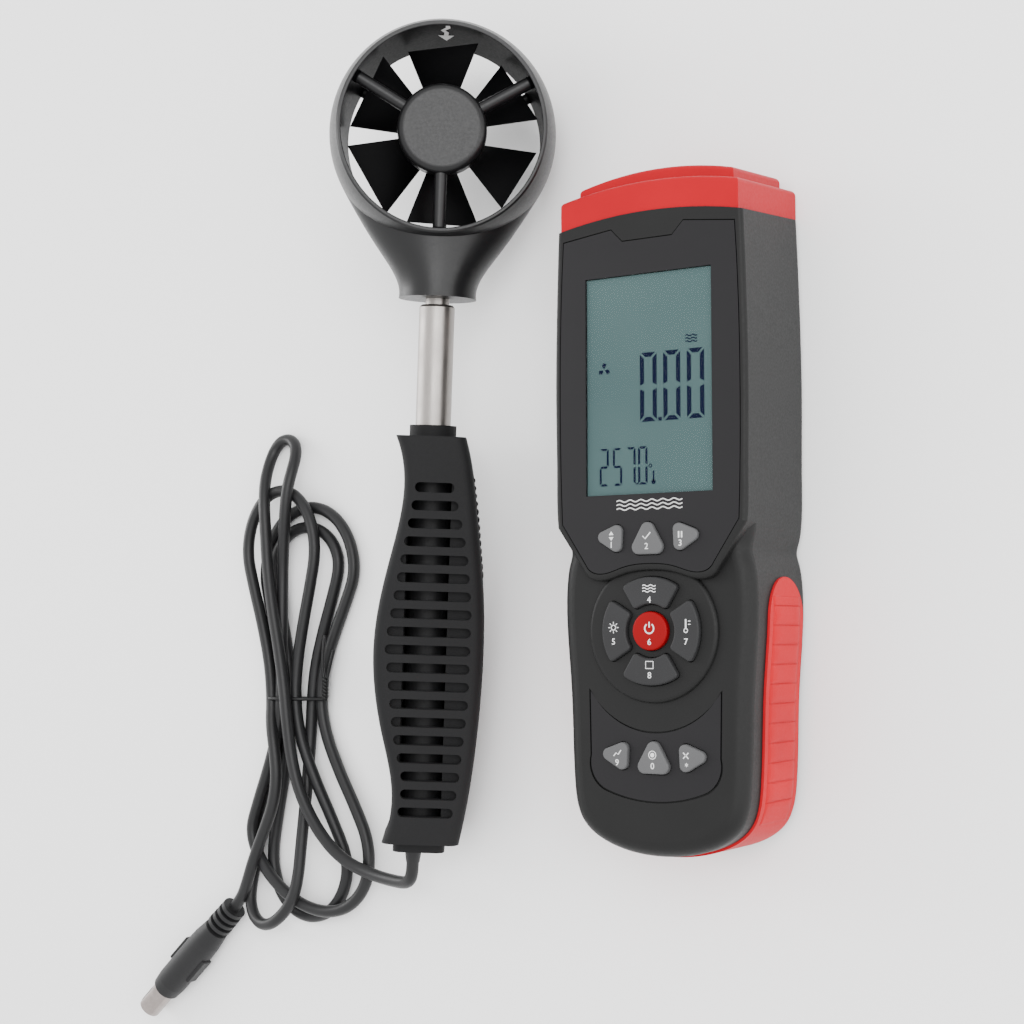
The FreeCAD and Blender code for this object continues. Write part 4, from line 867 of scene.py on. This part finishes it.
def thermometer_mark(x, y):
    shapes = stroke(ring_points(x, y, radius=0.62, steps=12), width=0.28)
    shapes += stroke([(x, y + 0.7), (x, y + 3.5)], width=0.5)
    for level in (y + 2.9, y + 1.9):
        shapes += stroke([(x + 0.8, level), (x + 1.6, level)], width=0.24)
    return shapes


def key_marks():
    """For each key: a small plain picture, its number, and the number's place, in millimetres."""
    up_down = arrow(-12.4, -6.9, tall=1.2, wide=1.7) + arrow(-12.4, -7.5, tall=1.2, wide=1.7, up=-1.0)
    tick = stroke([(-1.3, -7.5), (-0.4, -8.4), (1.4, -6.4)], width=0.36)
    pause = stroke([(11.2, -6.4), (11.2, -8.4)], width=0.5)
    pause += stroke([(12.2, -6.4), (12.2, -8.4)], width=0.5)
    winds = air_lines(0.0, -24.7, apart=0.9, length=4.6, height=0.24, waves=2.0, pen=0.28)
    area = stroke([(-1.3, -48.6), (1.3, -48.6), (1.3, -46.4), (-1.3, -46.4)], width=0.3, closed=True)
    course = stroke([(-13.6, -76.0), (-12.7, -75.0), (-12.0, -75.5), (-11.0, -74.1)], width=0.32)
    target = [disc(0.0, -75.3, radius=0.7)]
    target += stroke(ring_points(0.0, -75.3, radius=1.25, steps=16), width=0.24)
    cross = stroke([(10.6, -74.2), (12.4, -76.0)], width=0.34)
    cross += stroke([(10.6, -76.0), (12.4, -74.2)], width=0.34)
    return {
        "key_upper_left": (up_down, "1", (-12.4, -10.9)),
        "key_upper_middle": (tick, "2", (0.0, -11.6)),
        "key_upper_right": (pause, "3", (11.7, -10.9)),
        "key_ring_top": (winds, "4", (0.0, -28.2)),
        "key_ring_left": (sun_mark(-12.6, -35.9), "5", (-12.6, -41.2)),
        "key_power": (power_mark(0.0, -36.2), "6", (0.0, -41.3)),
        "key_ring_right": (thermometer_mark(12.6, -36.9), "7", (12.6, -41.2)),
        "key_ring_bottom": (area, "8", (0.0, -51.6)),
        "key_lower_left": (course, "9", (-12.4, -78.9)),
        "key_lower_middle": (target, "0", (0.0, -79.6)),
        "key_lower_right": (cross, "*", (11.7, -79.3)),
    }


def number_mesh(name, symbol, place, level):
    """A number or a star in plain printing, laid flat."""
    data = bpy.data.curves.new(name, "FONT")
    data.body = symbol
    data.size = NUMBER_TALL * SIZE_FOR_HEIGHT * MM
    data.align_x = "CENTER"
    data.extrude = KEY_INK / 2.0 * MM
    data.offset = NUMBER_BOLDER * MM
    data.resolution_u = 3
    text = bpy.data.objects.new(name, data)
    mesh = bpy.data.meshes.new_from_object(text)
    bpy.data.objects.remove(text)
    piece = in_scene(name, mesh)
    piece.location = (place[0] * MM, place[1] * MM, level)
    return piece


def build_key_marks():
    pale = printed("mark_ink", srgb(214, 214, 214))
    for key, (shapes, symbol, place) in key_marks().items():
        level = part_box(key)[1].z
        mark = plate_mesh(key + "_mark", shapes, level, KEY_INK * MM)
        number = number_mesh(key + "_number", symbol, place, level + KEY_INK / 2.0 * MM)
        for piece in (mark, number):
            piece.data.materials.clear()
            piece.data.materials.append(pale)
            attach(piece, key)


def build_face_mark():
    """Three wavy lines for moving air, printed below the display."""
    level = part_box("display_panel")[1].z
    lines = air_lines(0.4, 1.2, apart=1.25, length=23.0, height=0.32, waves=6.0, pen=0.36)
    mark = plate_mesh("face_mark", lines, level, FACE_INK * MM)
    mark.data.materials.append(printed("face_ink", srgb(192, 192, 190)))
    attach(mark, "meter")


# The flow arrow, as (round, along) in the probe's own millimetres: the line and width of its shaft,
# its head, and how thick it is.
ARROW_SHAFT = [(0.9, 15.6), (1.0, 13.0), (-0.9, 9.6), (0.3, 6.6), (0.0, 2.6)]
ARROW_WIDTH = 1.5
ARROW_HEAD = [(-2.7, 3.0), (2.7, 3.0), (0.0, -4.2)]
ARROW_THICK = 0.05


def build_flow_arrow():
    """The arrow printed on the duct's inside that shows which way the air has to pass."""
    mesh = bmesh.new()
    for outline in stroke(ARROW_SHAFT, ARROW_WIDTH) + [ARROW_HEAD]:
        inner, outer = [], []
        for x, z in outline:
            for ring, radius in ((inner, DUCT - ARROW_THICK), (outer, DUCT)):
                place = PROBE @ (Vector((x, math.sqrt(radius ** 2 - x ** 2), z)) * MM)
                ring.append(mesh.verts.new(place))
        mesh.faces.new(inner)
        mesh.faces.new(outer[::-1])
        for index in range(len(outline)):
            after = (index + 1) % len(outline)
            mesh.faces.new((inner[after], inner[index], outer[index], outer[after]))
    piece = mesh_piece("flow_arrow", mesh)
    piece.data.materials.append(printed("arrow_ink", srgb(214, 214, 214)))
    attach(piece, "head")


# ---------------------------------------------------------------- put together

def build_all():
    build_camera()
    materials = build_materials()
    cable = build_cable(materials)
    ties = build_twist_tie(materials)
    build_light()
    build_floor()
    dress_nodes(materials)
    build_grip_scales(materials)
    build_display()
    build_key_marks()
    build_face_mark()
    build_flow_arrow()


build_all()
